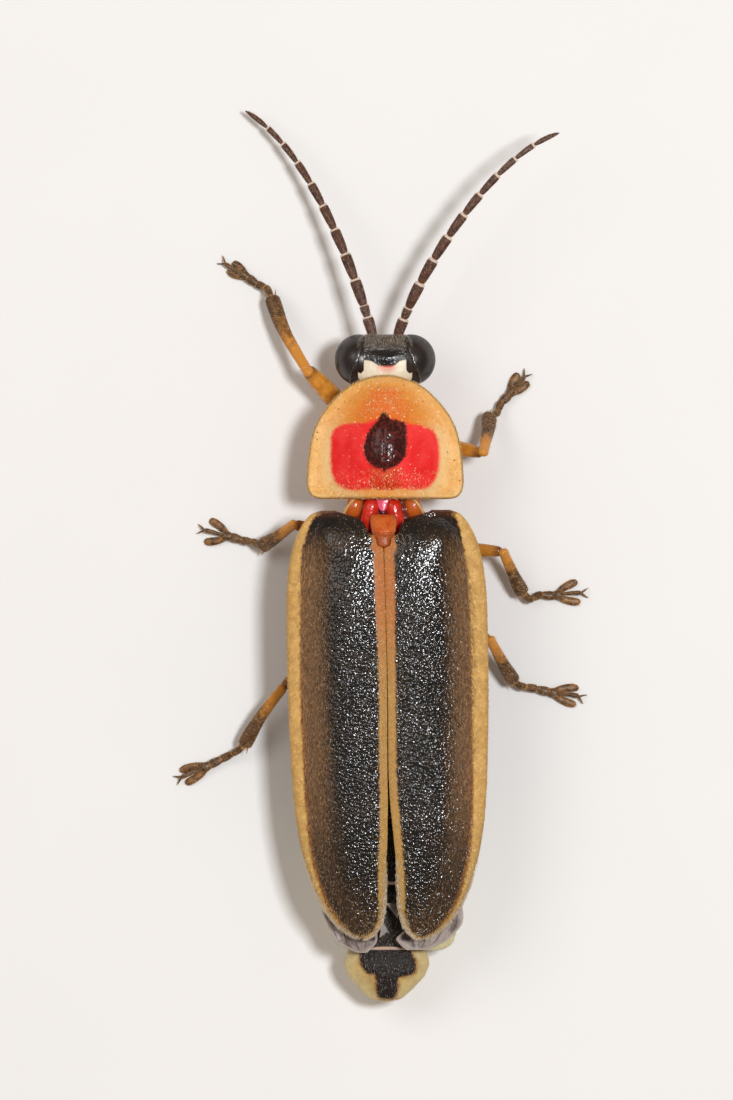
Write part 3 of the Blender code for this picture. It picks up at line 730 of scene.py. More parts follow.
for side, sign in SIDES.items():
    grid = plate_grid("elytron_" + side, 360, 84, (3.0, 2.0), mirrored=side == "right")
    wanted = curve(SEAM_LINE, grid[:, 0, 1]) + sign * curve(SEAM_HALF, grid[:, 0, 1])
    shift = np.clip(sign * (grid[:, 0, 0] - wanted), 0, None)[:, None]
    grid[..., 0] -= sign * shift * np.linspace(1, 0, grid.shape[1]) ** 6
    wanted = curve(SEAM_LINE, grid[:, 0, 1]) + sign * curve(SEAM_LEAST, grid[:, 0, 1])
    shift = np.clip(sign * (wanted - grid[:, 0, 0]), 0, None)[:, None]
    share = (grid[:, -1:, 0] - grid[..., 0]) / (grid[:, -1:, 0] - grid[:, :1, 0])
    for row, places in zip(grid, grid[..., 0] + sign * shift * share):
        row[:, 2] = np.interp(places * sign, row[:, 0] * sign, row[:, 2])
        row[:, 0] = places
    grid[..., 1] -= SHORTER * eased(grid[..., 1], 6.8, 8.1)
    outer, seam = distance_to(grid[::2, -1, :2], grid), distance_to(grid[::2, 0, :2], grid)
    y = grid[..., 1]
    starts = np.array([np.interp(FLANGE, apart[::-1], row[::-1, 2]) for row, apart in zip(grid, outer)])
    first = np.argmax(y[:, 0] > FLANGE_FROM)
    starts[:first] = starts[first]
    flange = starts[:, None] - FLANGE_SLOPE * np.clip(FLANGE - outer, 0, None)
    grid[..., 2] = softened(np.maximum(grid[..., 2], flange), 2.0, 1.0)
    pale = np.maximum(curve(TAN_OUTER[side], y) - outer, curve(TAN_INNER, y) - seam)
    shoulder = np.hypot(grid[..., 0] * sign - SHOULDER[0], (y - SHOULDER[1]) * 0.6)
    outer_groove = hill(pale, 0.07) * eased(seam, 0.4, 0.7)
    grid[..., 2] += 0.05 * hill(shoulder, 0.24) - 0.016 * outer_groove + 0.010 * hill(seam - 0.05, 0.05)
    open_edge = np.vstack([grid[0, ::3, :2], grid[::3, -1, :2], grid[-1, ::-3, :2]])
    rim = np.minimum(distance_to(open_edge, grid), seam + SEAM_FLAT)
    shape = thin_plate(grid, rim, CASE_CURL, CASE_WALL, CASE_THICK,
                       pale=pale, outer=outer, seam=seam, along=y)
    cases[side] = shape.piece("wing_case_" + side, case_finish, "cuticle_black", "elytron_" + side)
    case_grids[side] = grid
    print(side, "wing case:", len(cases[side].data.polygons), "faces")

# %% [markdown]
# ## The shield over the head
#
# The pronotum is a translucent plate like a visor: tan at the sides, orange in the middle, with two red
# fields beside a glossy, dark, raised spot. Its colours have soft borders, because pigment and fat show
# through clear cuticle, so some light has to pass through it as well. The outlines of the red and of
# the spot are closed shapes in plan, and each point of the plate knows how deep inside them it lies.

# %% Finish of the shield
def shield_finish():
    f = Finish("clear_amber_shield", specular=0.25, clear=(0.18, (1.0, 0.45, 0.18), 0.25))
    rim, red, spot, glow, under = (f.mark(n) for n in ("rim", "red", "spot", "glow", "under"))
    drift, fine = f.noise(0.16, 4.0, 0.6) - 0.5, f.noise(0.045, 3.0, 0.6) - 0.5
    pores = f.step(f.cells(0.042), 0.26, 0.10)
    # Painted glints: pale flecks in the colour stand for light caught by the shield, thick on the orange
    # middle, under the spot and near the rim.
    painted_glint_spots = f.step(f.cells(0.075), 0.27, 0.14) * f.step(f.noise(0.12, 2.0), 0.46, 0.56)
    painted_glints = painted_glint_spots * f.step(glow + under * 0.7 + (1 - f.step(rim, 0.1, 0.5)) * 0.5 + drift, 0.20, 0.7)
    dots = f.step(f.cells(0.13), 0.19, 0.12) * f.step(f.noise(0.25, 2.0), 0.47, 0.55)
    spot_mask = f.step(spot + fine * 0.16 + drift * 0.05, -0.02, 0.025)
    colour = f.layers(
        f.cloudy((0.83, 0.45, 0.13), (0.93, 0.56, 0.22), 0.30, 0.3, 0.7),
        ((0.93, 0.64, 0.32), f.step(red + drift * 0.2, -0.30, -0.06) * 0.6),
        ((0.80, 0.34, 0.055), (1 - f.step(f.mark("along"), -3.70, -2.75)) * 0.75),
        (f.mix((0.80, 0.27, 0.030), (0.78, 0.16, 0.016), f.step(glow + drift * 0.3, 0.55, 1.0)),
         glow + drift * 0.35, 0.06, 0.75),
        (f.cloudy((0.86, 0.012, 0.012), (1.0, 0.045, 0.042), 0.40, 0.3, 0.7),
         red + fine * 0.07 + drift * 0.05, -0.05, 0.05),
        (f.cloudy((0.66, 0.028, 0.006), (0.74, 0.10, 0.016), 0.10, 0.50, 0.75, 3.0, 0.7),
         under + drift * 0.5, 0.25, 0.75),
        # painted glints
        ((1.0, 0.83, 0.50), painted_glints * 0.85),
        ((0.20, 0.085, 0.02), dots * (1 - f.step(rim, 0.30, 0.60)) * 0.85),
        ((0.30, 0.15, 0.035), (1 - f.step(rim + fine * 0.03, 0.012, 0.05)) * 0.85),
        (f.cloudy((0.034, 0.006, 0.005), (0.17, 0.024, 0.017), 0.09, 0.42, 0.75, 4.0, 0.7), spot_mask))
    lumps = f.cells(0.11)
    wrinkle = f.noise(0.13, 2.0, 0.5) * 0.5 - lumps * lumps * spot_mask * 0.55
    relief = f.noise(0.034, 2.0, 0.6) * 0.8 * (1 - spot_mask * 0.8) + wrinkle + pores * 0.5 * (1 - spot_mask)
    return f.done(colour, relief, 0.016, 0.52 - 0.34 * spot_mask)


# %% Make the shield
RED_FIELD = ((1.116, -2.663), (1.137, -2.263), (1.137, -1.758), (1.011, -1.463), (0.716, -1.337),
             (0.358, -1.379), (0.0, -1.442), (-0.358, -1.379), (-0.758, -1.358), (-0.99, -1.463),
             (-1.116, -1.758), (-1.137, -2.221), (-1.074, -2.579), (-0.737, -2.726), (-0.4, -2.747),
             (0.0, -2.895), (0.4, -2.747), (0.737, -2.768))
DARK_SPOT = ((0.07, -2.99), (0.12, -2.87), (0.19, -2.77), (0.31, -2.66), (0.40, -2.46), (0.45, -2.28),
             (0.44, -2.08), (0.33, -1.90), (0.20, -1.82), (0.06, -1.80), (0.01, -1.70), (-0.05, -1.80),
             (-0.24, -1.85), (-0.41, -2.02), (-0.45, -2.24), (-0.45, -2.50), (-0.43, -2.78),
             (-0.28, -2.80), (-0.10, -2.84), (-0.02, -2.98))
grid = plate_grid("pronotum", 220, 180, (2.0, 1.5), corner=0.06)
grid[..., 0] *= 1 - 0.035 * hill(grid[..., 1] + 3.40, 0.38)
x, y = grid[..., 0], grid[..., 1]
rim = distance_to(outline(grid), grid)
red, spot = depth_in(swept(RED_FIELD, 2), grid), depth_in(swept(DARK_SPOT, 2), grid)
spread = 0.45 + 0.60 * eased(y, -3.65, -2.85)
glow = hill(x, spread) * eased(y, -3.78, -3.35) * (1 - eased(y, -2.75, -2.45) * 0.45)
under = hill(x, 0.36) * eased(y, -2.05, -1.80) * (1 - eased(y, -1.42, -1.30))
spot_dome = 0.035 * eased(spot, -0.04, 0.16) + 0.008 * eased(spot, 0.06, 0.34)
grid[..., 2] += spot_dome - 0.010 * hill(spot + 0.03, 0.05)
grid[..., 2] -= 0.022 * hill(x - 0.02, 0.025) * eased(spot, 0.0, 0.10)  # the furrow along the spot
grid[..., 2] += 0.05 * eased(red, -0.16, 0.22) + 0.010 * hill(rim - 0.05, 0.035)
grid[..., 2] -= 0.030 * hill(x, 0.05) * eased(y, -1.75, -1.55) + 0.02 * hill(rim - 0.20, 0.09)
shield_grid = grid
shape = thin_plate(grid, rim, 0.10, 0.10, 0.12, rim=rim, red=red, spot=spot, glow=glow, under=under, along=y)
shield = shape.piece("shield", shield_finish(), "cuticle_amber_clear", "pronotum")
print("shield:", len(shield.data.polygons), "faces")

# %% [markdown]
# ## Head
#
# The head hides behind two huge eyes. Its top is glossy black in front and cream behind, with a small
# shining boss where they meet. It is felt from its solid as rings, and then the hollow between the eyes,
# the boss and the edge of the mouth are pressed into them. Sculpting would be quicker to try out, but
# numbers are easier to correct against a photograph.

# %% Finish and shape of the head
def head_finish():
    f = Finish("black_and_cream_head", clear=(0.12, (1.0, 0.6, 0.4), 0.15))
    cream, pink, boss, low = (f.mark(n) for n in ("cream", "pink", "boss", "low"))
    fine = f.noise(0.035, 3.0, 0.6) - 0.5
    dusty = 1 - f.step(f.mark("along") + fine * 0.25, -4.48, -4.18)
    dust = f.step(f.noise(0.03, 3.0, 0.7), 0.42, 0.66) * dusty
    pale = f.cloudy((0.78, 0.68, 0.50), (0.86, 0.77, 0.60), 0.12, 0.35, 0.7, 2.0)
    cream_mask = f.step(cream + fine * 0.03, -0.012, 0.02)
    colour = f.layers(
        f.mix((0.010, 0.007, 0.006), (0.24, 0.17, 0.105), dust),
        (f.layers(pale, ((0.78, 0.40, 0.28), pink + fine * 0.2, 0.15, 0.8)), cream_mask),
        (f.mix((0.20, 0.085, 0.035), (0.34, 0.17, 0.07), f.noise(0.08, 3.0)), low + fine * 0.3, 0.35, 0.8),
        ((0.60, 0.04, 0.025), f.step(f.mark("blush"), 0.35, 0.75) * cream_mask * 0.85))
    lumps = f.noise(0.07, 2.0, 0.6) * (1.9 - 1.35 * boss) * (1 - cream_mask * 0.8)
    dimples = f.cells(0.055)
    relief = f.noise(0.022, 2.0, 0.6) * dusty + lumps - dimples * dimples * boss * 0.6
    gloss = 0.24 + 0.18 * f.step(cream_mask + dusty, 0.0, 1.0) - 0.07 * boss * (1 - cream_mask)
    return f.done(colour, relief, 0.012, gloss)


CREAM_FIELD = ((0.568, -3.842), (0.555, -3.98), (0.52, -4.06), (0.42, -4.085), (0.253, -4.05), (0.17, -3.98),
               (0.08, -3.955), (-0.15, -3.955), (-0.23, -3.99), (-0.28, -4.05), (-0.379, -4.085),
               (-0.48, -4.09), (-0.535, -4.02), (-0.568, -3.842), (-0.60, -3.0), (0.60, -3.0))
BOSS, BOSS_HALF = (-0.065, -4.10), (0.175, 0.135)
BOSS_RISE, BOSS_SLOPE = 0.035, 0.20  # its height, and how much it slopes so that it catches the main light
PINK_MIDDLE = (-0.03, -3.93)
HEAD_WIDER = ((-4.62, 1.28), (-4.40, 1.22), (-3.90, 1.20), (-3.55, 1.12), (-3.14, 1.0))  # place, factor
BOXY = 0.45  # how far the top of the head is squared towards the eyes
EYE_MIDDLE, EYE_LONG, EYE_TALL = (-4.09, 1.50), 0.53, 0.60  # place along Y and Z, and half sizes
EYE_BOXY = 2.4  # 2 would make the rim of an eye an ellipse, and more makes it flatter on top
NECK, NECK_PLACES = 0.20, (-3.40, -3.16)  # how far the rear of the head goes on into the chest
grid = body_grid("head", 150, 168)
y, z = grid[..., 1], grid[..., 2].copy()
mid_height = (z.min(1) + z.max(1))[:, None] / 2
top = eased(z - mid_height, 0.02, 0.30)
half = np.abs(grid[..., 0]).max(1)[:, None] + 1e-6
squared = np.sign(grid[..., 0]) * half * (np.abs(grid[..., 0]) / half) ** (1 - BOXY * top)
x = squared * curve(HEAD_WIDER, y)
rim_share = np.clip(1 - np.abs((y - EYE_MIDDLE[0]) / EYE_LONG) ** EYE_BOXY, 0, 1) ** (1 / EYE_BOXY)
rim_height = EYE_MIDDLE[1] + EYE_TALL * rim_share - 0.03
beside_eye = eased(np.abs(x), 0.30, 0.56) * eased(y, -4.62, -4.52) * (1 - eased(y, -3.72, -3.58))
cream = np.minimum(depth_in(swept(CREAM_FIELD, 1), np.stack([x, y], -1)), (top - 0.08) * 0.5)
boss = 1 - ((x - BOSS[0]) / BOSS_HALF[0]) ** 2 - ((y - BOSS[1]) / BOSS_HALF[1]) ** 2
boss = np.clip(boss, 0, 1) ** 1.3
pink = hill(np.hypot((x - PINK_MIDDLE[0]) / 0.22, (y - PINK_MIDDLE[1]) / 0.13), 1.0)
blush = hill(np.hypot((x - PINK_MIDDLE[0] + 0.03) / 0.15, (y - PINK_MIDDLE[1] + 0.02) / 0.04), 1.0)
hollow = hill(x, 0.26) * eased(y, -4.60, -4.42) * (1 - eased(y, -4.30, -4.15))
furrow = 0.02 * hill(x, 0.03) * eased(y, -4.0, -3.9)
head_grid = grid.copy()
head_grid[..., 0] = x
head_grid[..., 1] += NECK * eased(y, *NECK_PLACES)
head_grid[..., 2] += top * beside_eye * (rim_height - z)
head_grid[..., 2] += top * (boss * (BOSS_RISE + BOSS_SLOPE * (x - BOSS[0])) - 0.06 * hollow - furrow)
shape = Shape().add(head_grid, cream=cream, pink=pink * top, boss=boss * top, blush=blush * top, along=y,
                    low=eased(mid_height - z, -0.05, 0.35))
head = shape.piece("head_capsule", head_finish(), "cuticle_pale", "head")
print("head:", len(head.data.polygons), "faces")

# %% [markdown]
# ## Eyes
#
# Each eye is a dome of thousands of six-sided lenses. A bump pattern would show them too, but real
# lenses also catch light along the outline. A sphere of triangles has nearly even points. Each point
# becomes the middle of one lens, raised a little over the corners that it shares with its neighbours.

# %% Make the faceted eyes
LENS_RISE = 0.0045
EYE_DEPTH = 0.10  # how far the dome goes on inside the head


def eye_finish():
    f = Finish("dark_faceted_eye", 0.30)
    haze = f.cloudy((0.022, 0.013, 0.010), (0.070, 0.044, 0.034), 0.35, 0.35, 0.75, 2.0)
    colour = f.mix((0.006, 0.004, 0.004), haze, f.step(f.mark("lens"), 0.0, 0.7))
    return f.done(colour, f.noise(0.05, 2.0), 0.003)


def rim_finish():
    """The smooth raised ring round an eye, which carries its long highlight."""
    f = Finish("glossy_black_eye_rim", 0.22, 0.8)
    colour = f.cloudy((0.012, 0.008, 0.007), (0.050, 0.032, 0.024), 0.06, 0.4, 0.7)
    return f.done(colour, f.noise(0.09, 2.0), 0.014)


def fitted_egg(points):
    """Middle and half sizes of the egg that passes through points."""
    terms = np.column_stack([points ** 2, points])
    a = np.linalg.lstsq(terms, np.ones(len(points)), rcond=None)[0]
    middle = -a[3:] / (2 * a[:3])
    return middle, np.sqrt((1 + (a[:3] * middle ** 2).sum()) / a[:3])


def lens_sphere(subdivisions):
    """Points, their heights from 0 to 1, and triangles of a round shell of six-sided lenses."""
    ball = bmesh.new()
    bmesh.ops.create_icosphere(ball, subdivisions=subdivisions, radius=1.0)
    ball.faces.index_update()
    ball.verts.index_update()
    points = np.array([v.co[:] for v in ball.verts] + [f.calc_center_median()[:] for f in ball.faces])
    points /= np.linalg.norm(points, axis=1)[:, None]
    count = len(ball.verts)
    fans = []
    for edge in ball.edges:
        (a, b), (f, g) = (v.index for v in edge.verts), (face.index + count for face in edge.link_faces)
        fans += [(a, f, g), (b, g, f)]
    ball.free()
    fans = np.array(fans)
    spans = np.cross(points[fans[:, 1]] - points[fans[:, 0]], points[fans[:, 2]] - points[fans[:, 0]])
    inward = (spans * points[fans[:, 0]]).sum(1) < 0
    fans[inward] = fans[inward][:, ::-1]
    return points, (np.arange(len(points)) < count).astype(float), fans


shell_points, shell_lens, shell_fans = lens_sphere(6)
eye_surface, eye_ring = eye_finish(), rim_finish()
for side, sign in SIDES.items():
    solid = Solid("eye_" + side)
    flat_side = solid.low[0] if sign > 0 else solid.high[0]
    dome = solid.points[(solid.points[:, 0] - flat_side) * sign > 0.05]
    middle, radii = fitted_egg(dome)
    points = middle + shell_points * (radii + (shell_lens * LENS_RISE)[:, None])
    deep = (points[:, 0] - flat_side) * sign > -EYE_DEPTH
    used, fans = np.unique(shell_fans[deep[shell_fans].all(1)], return_inverse=True)
    points, lens = points[used], shell_lens[used]
    way = (points - middle) / radii
    flat = 0.5 + 0.5 * way[:, 1:] / (1 + np.clip(way[:, :1] * sign, -0.2, 1))
    made_piece("eye_of_lenses_" + side, points, [fans.reshape(-1, 3)], np.clip(flat, 0, 1), {"lens": lens},
               eye_surface, "eye_cornea", "eye_" + side)
    turns = np.linspace(0, 2 * pi, 145)
    slant = 0.045 + 0.15 * np.cos(turns)
    shrink = np.sqrt(1 - (slant / radii[0]) ** 2)
    high = np.sign(np.sin(turns)) * (1 - np.abs(np.cos(turns)) ** EYE_BOXY) ** (1 / EYE_BOXY)
    rim_path = middle + np.stack([slant * sign, np.cos(turns) * radii[1] * shrink,
                                  high * radii[2] * shrink], -1)
    rim_size = 0.006 + 0.018 * eased(np.sin(turns), 0.10, 0.70)
    ring = tube_grid(rim_path, rim_size, rim_size * 1.8, up=np.array([1.0, 0.0, 0.0]))
    Shape().add(ring).piece("eye_rim_" + side, eye_ring, "cuticle_dark")
    print(side, "eye:", int(lens.sum()), "lenses, half sizes", np.round(radii, 3))

# %% [markdown]
# ## Shell finishes for limbs and body
#
# The rest of the shell comes in a few kinds: honey-coloured and glossy, brown and grainy, red and wet,
# or dark and dull. They share one recipe, with a cloudy colour, a darker or lighter end, fine grain and
# some gloss. A shared function keeps them related, as they are on the insect.

# %% A recipe for body shells
def shell_finish(name, low, high, far, gloss, grain=0.03, depth=0.006, see_through=0.0):
    """Clouds from low to high, with the colour far where a piece's mark called far is 1."""
    f = Finish(name, 0.52 - 0.36 * gloss, 0.32, (see_through, (1.0, 0.45, 0.2), 0.15))
    cloud = f.step(f.noise(grain * 5, 4.0, 0.6), 0.3, 0.7)
    colour = f.layers(f.mix(low, high, cloud), (far, f.mark("far") + (cloud - 0.5) * 0.3, 0.1, 0.9),
                      (high, f.step(f.noise(grain, 3.0, 0.7), 0.52, 0.75) * 0.5),
                      ((0.68, 0.52, 0.40), f.mark("ring"), 0.35, 0.65))
    return f.done(colour, f.noise(grain, 2.0, 0.6) + f.noise(grain * 3, 2.0) * 0.6, depth)


amber = shell_finish("honey_amber_shell", (0.52, 0.19, 0.020), (0.80, 0.36, 0.052), (0.17, 0.050, 0.012),
                     0.85, 0.04, 0.006, 0.15)
brown = shell_finish("grainy_brown_shell", (0.075, 0.040, 0.024), (0.19, 0.105, 0.060),
                     (0.035, 0.020, 0.013), 0.25, 0.022, 0.010)
shin = shell_finish("amber_to_brown_shin", (0.060, 0.026, 0.012), (0.17, 0.085, 0.036),
                    (0.66, 0.26, 0.035), 0.7, 0.030, 0.009)
claw = shell_finish("reddish_claw", (0.20, 0.075, 0.03), (0.36, 0.16, 0.07), (0.06, 0.03, 0.02), 0.5, 0.03)
feeler = shell_finish("dark_feeler", (0.050, 0.016, 0.008), (0.125, 0.050, 0.024),
                      (0.115, 0.042, 0.018), 0.5, 0.028, 0.010)
belly_dark = shell_finish("dark_belly_plate", (0.020, 0.013, 0.010), (0.060, 0.042, 0.032),
                          (0.40, 0.20, 0.10), 0.4, 0.040, 0.016)
print("shell finishes are made")

# %% [markdown]
# ## Jaws and mouth feelers
#
# Under the head sit two thin curved jaws and two feelers with four joints. They can't be seen from
# above, but the model is looked at from all sides. Each follows the middle line of its solid.

# %% Make the jaws and mouth feelers
def beaded(shares, knots, waist=0.62, swell=0.72):
    """Sizes along a limb of several joints: narrow where each starts and wide before it ends."""
    sizes = np.ones_like(shares)
    for low, high in zip(knots[:-1], knots[1:]):
        here = (shares >= low) & (shares <= high)
        f = (shares[here] - low) / (high - low)
        sizes[here] = curve(((0, 0.42), (0.06, waist), (swell, 1.0), (0.95, 0.86), (1.0, 0.42)), f)
    return sizes


THROAT = np.array([0.0, -3.9, 1.0])
f = np.linspace(0, 1, 72)
for side in SIDES:
    jaw, palp = (bent(ordered(node + side, THROAT, (0.02, 0.25, 0.5, 0.75, 0.98)), f)
                 for node in ("mandible_", "palp_"))
    sizes = curve(((0, 0.085), (0.3, 0.075), (0.7, 0.045), (1, 0.008)), f) * rounded_ends(f, 0.1, 0.02)
    limb_piece("jaw_" + side, jaw, sizes, sizes * 0.8, claw, "cuticle_amber", "mandible_" + side, f)
    sizes = beaded(f, (0, 0.2, 0.42, 0.62, 1.0)) * curve(((0, 0.06), (0.7, 0.085), (1, 0.04)), f)
    limb_piece("mouth_feeler_" + side, palp, sizes, sizes, brown, "cuticle_brown", "palp_" + side, f * 0.5)
head_node = Solid("head")
f = np.linspace(0, 1, 24)
lip_path = np.stack([0 * f, head_node.low[1] + 0.10 - 0.06 * f, head_node.low[2] + 0.22 - 0.26 * f], -1)
lip_size = 0.20 * np.sqrt(1 - f) * rounded_ends(f, 0.15, 0.3)
Shape().add(tube_grid(lip_path, lip_size, lip_size * 0.3, 32, FORWARD), far=0.0).piece(
    "upper_lip", amber, "cuticle_amber")
print("jaws, mouth feelers and lip are made")

# %% [markdown]
# ## Antennae
#
# Each antenna is a string of eleven joints. A joint starts thin, widens towards its far end, and closes
# in a pale collar. The solids follow their curve in five stretches, so a smooth curve is fitted through
# all five, and every joint is set on it at its measured share of the length.

# %% Make the antennae
JOINT_LENGTHS = (0.440, 0.240, 0.570, 0.565, 0.555, 0.555, 0.525, 0.525, 0.495, 0.465, 0.585)
JOINT_HALF = (0.118, 0.100, 0.120, 0.116, 0.110, 0.101, 0.093, 0.082, 0.070, 0.061, 0.055)
STRETCHES = (("scape", 0, 1), ("pedicel", 1, 2), ("base", 2, 5), ("middle", 5, 8), ("tip", 8, 11))
JOINT_SHAPE = ((0.0, 0.40), (0.03, 0.64), (0.14, 0.80), (0.50, 0.95), (0.85, 1.0), (0.89, 0.97),
               (0.93, 0.92), (0.985, 0.86), (1.0, 0.5))
LAST_SHAPE = ((0.0, 0.30), (0.03, 0.60), (0.35, 1.0), (0.65, 0.88), (0.88, 0.50), (1.0, 0.05))
ROOTED = 0.07  # how far the first joint goes on into the head
antennae = {}
for side in SIDES:
    scape, pedicel = (Solid(f"antenna_{side}_{name}") for name in ("scape", "pedicel"))
    short = np.array([(solid.low + solid.high) / 2 for solid in (scape, pedicel)])
    root = short[0] + (short[0] - short[1]) * 0.9
    found = [ordered(f"antenna_{side}_{name}", root, np.linspace(0.06, 0.94, 3 + 4 * (last - first)))
             for name, first, last in STRETCHES[2:]]
    found = np.concatenate([root[None], short, *found])
    gone = np.concatenate([[0], np.cumsum(np.linalg.norm(np.diff(found, axis=0), axis=1))])
    trust = np.where(np.arange(len(found)) < 3, 3.0, 1.0)
    fits = [np.polyfit(gone, found[:, n], 5, w=trust) for n in range(3)]
    last_part = (gone[-1] - gone[-15]) * 0.06 / 0.88  # what the last reading leaves out of the limb's end
    reach = np.linspace(-0.3, gone[-1] + last_part, 4000)
    line = np.stack([np.polyval(fit, reach) for fit in fits], -1)
    line = line[line[:, 1] < scape.high[1] + ROOTED]
    gone = np.concatenate([[0], np.cumsum(np.linalg.norm(np.diff(line, axis=0), axis=1))])
    knots = np.concatenate([[0], np.cumsum(JOINT_LENGTHS)]) / sum(JOINT_LENGTHS) * gone[-1]
    f = crowded(44, 0.5)
    for name, first, last in STRETCHES:
        shape = Shape()
        for n in range(first, last):
            places = knots[n] + (knots[n + 1] - knots[n]) * f
            path = np.stack([np.interp(places, gone, line[:, m]) for m in range(3)], -1)
            sizes = JOINT_HALF[n] * curve(JOINT_SHAPE if n < 10 else LAST_SHAPE, f)
            sizes[[0, -1]] *= 0.02
            ring = eased(f, 0.90, 0.915) if n < 10 else 0 * f
            shape.add(tube_grid(path, sizes, sizes * 0.68, 28), ring=ring[:, None],
                      far=(1 - eased(f, 0.0, 0.25))[:, None])
        antennae[side, name] = shape.piece(f"antenna_{side}_{name}_joints", feeler, "cuticle_brown",
                                           f"antenna_{side}_{name}")
    print(side, "antenna:", round(float(gone[-1]), 2), "mm along its curve")

# %% [markdown]
# ## Legs
#
# A leg has a thick thigh, a flatter shin with two spurs, and a foot of five joints. The fourth joint of
# a firefly's foot is cleft into two felt-covered lobes, and the thin fifth one stands between them and
# carries two claws. The middle line of every part comes from its solid, so the pose is the frame's.

# %% Make the legs
# Half width of the thigh and of the shin, how far the shin goes on past the knee, how dark the thigh is,
# where the amber of the shin ends, degrees between a foot's lobe and the foot, and the lobe's share of it
LEGS = {
    "front_left": (0.205, 0.165, 0.20, 0.0, 1.0, 8, 0.27),
    "front_right": (0.165, 0.165, 0.05, 0.2, 0.75, 13, 0.34),
    "middle_left": (0.16, 0.155, 0.05, 0.42, 0.75, 24, 0.34),
    "middle_right": (0.16, 0.155, 0.05, 0.42, 0.75, 21, 0.34),
    "hind_left": (0.16, 0.155, 0.05, 0.42, 0.75, 11, 0.34),
    "hind_right": (0.16, 0.155, 0.05, 0.42, 0.75, 15, 0.34),
}
HIP_ROOT, HIP_HALF = 0.40, 0.23  # how far up inside the chest a hip starts, and half its width
FOOT_JOINTS = ((0.0, 0.20, 0.078), (0.185, 0.37, 0.085), (0.355, 0.53, 0.095), (0.515, 0.64, 0.105))
LIFT = 0.03  # how far a foot's joints are above the ground
LOBE_HALF, CLAW_JOINT_HALF = 0.085, 0.05


def unit(way):
    return way / np.linalg.norm(way)


def foot_shape(path, shares, splay, lobe_long):
    """The first three joints, the cleft fourth one, and the thin one that ends in claws."""
    shape = Shape()
    length = np.linalg.norm(np.diff(path, axis=0), axis=1).sum()

    def at(f):
        return np.stack([np.interp(f, shares, path[:, n]) for n in range(3)], -1)

    f = np.linspace(0, 1, 30)
    for low, high, half in FOOT_JOINTS:
        sizes = half * curve(((0, 0.60), (0.1, 0.74), (0.7, 1.0), (0.92, 0.95), (1, 0.6)), f)
        sizes[[0, -1]] *= 0.02
        middle = at(low + (high - low) * f)
        middle[:, 2] = np.maximum(middle[:, 2], LIFT + sizes * 0.8)
        shape.add(tube_grid(middle, sizes, sizes * 0.75, 26), far=(1 - eased(f, 0, 0.3))[:, None] * 0.6)
    along = unit((at(0.72) - at(0.52)) * [1, 1, 0])
    aside = np.cross(along, UP)
    f = np.linspace(0, 1, 36)
    for way in (-1, 1):
        angle = radians(splay) * way
        lean = along * cos(angle) + aside * sin(angle)
        start = at(0.575) + aside * way * 0.035
        run = lobe_long * length * f[:, None]
        middle = start + run * lean + aside * way * 0.03 * np.sin(pi * f)[:, None]
        sizes = LOBE_HALF * curve(((0, 0.5), (0.3, 0.85), (0.7, 1.0), (0.93, 0.75), (1, 0.02)), f)
        middle[:, 2] = np.interp(f, (0, 0.3, 1), (start[2], 0.075, 0.052))
        shape.add(tube_grid(middle, sizes, np.minimum(sizes * 0.62, 0.045), 26), far=0.25)
    f = np.linspace(0, 1, 34)
    middle = at(0.60 + 0.33 * f)
    middle[:, 2] = np.interp(f, (0, 0.25, 0.8, 1), (0.13, 0.17, 0.19, 0.15))
    sizes = CLAW_JOINT_HALF * curve(((0, 0.5), (0.6, 0.85), (0.9, 1.0), (1, 0.3)), f)
    shape.add(tube_grid(middle, sizes, sizes, 20), far=0.0)
    root, out = middle[-2], unit(at(1.0) - at(0.9))
    aside = np.cross(out, UP)
    f = np.linspace(0, 1, 24)
    for way in (-1, 1):
        swing = (0.10 * np.sin(f * 1.6) * way)[:, None] * aside
        middle = root + out * (0.15 * np.sin(f * 1.45))[:, None] + swing - UP * (0.12 * f ** 1.6)[:, None]
        sizes = np.interp(f, (0, 1), (0.024, 0.004))
        shape.add(tube_grid(middle, sizes, sizes, 12), far=f[:, None] * 0.4)
    return shape


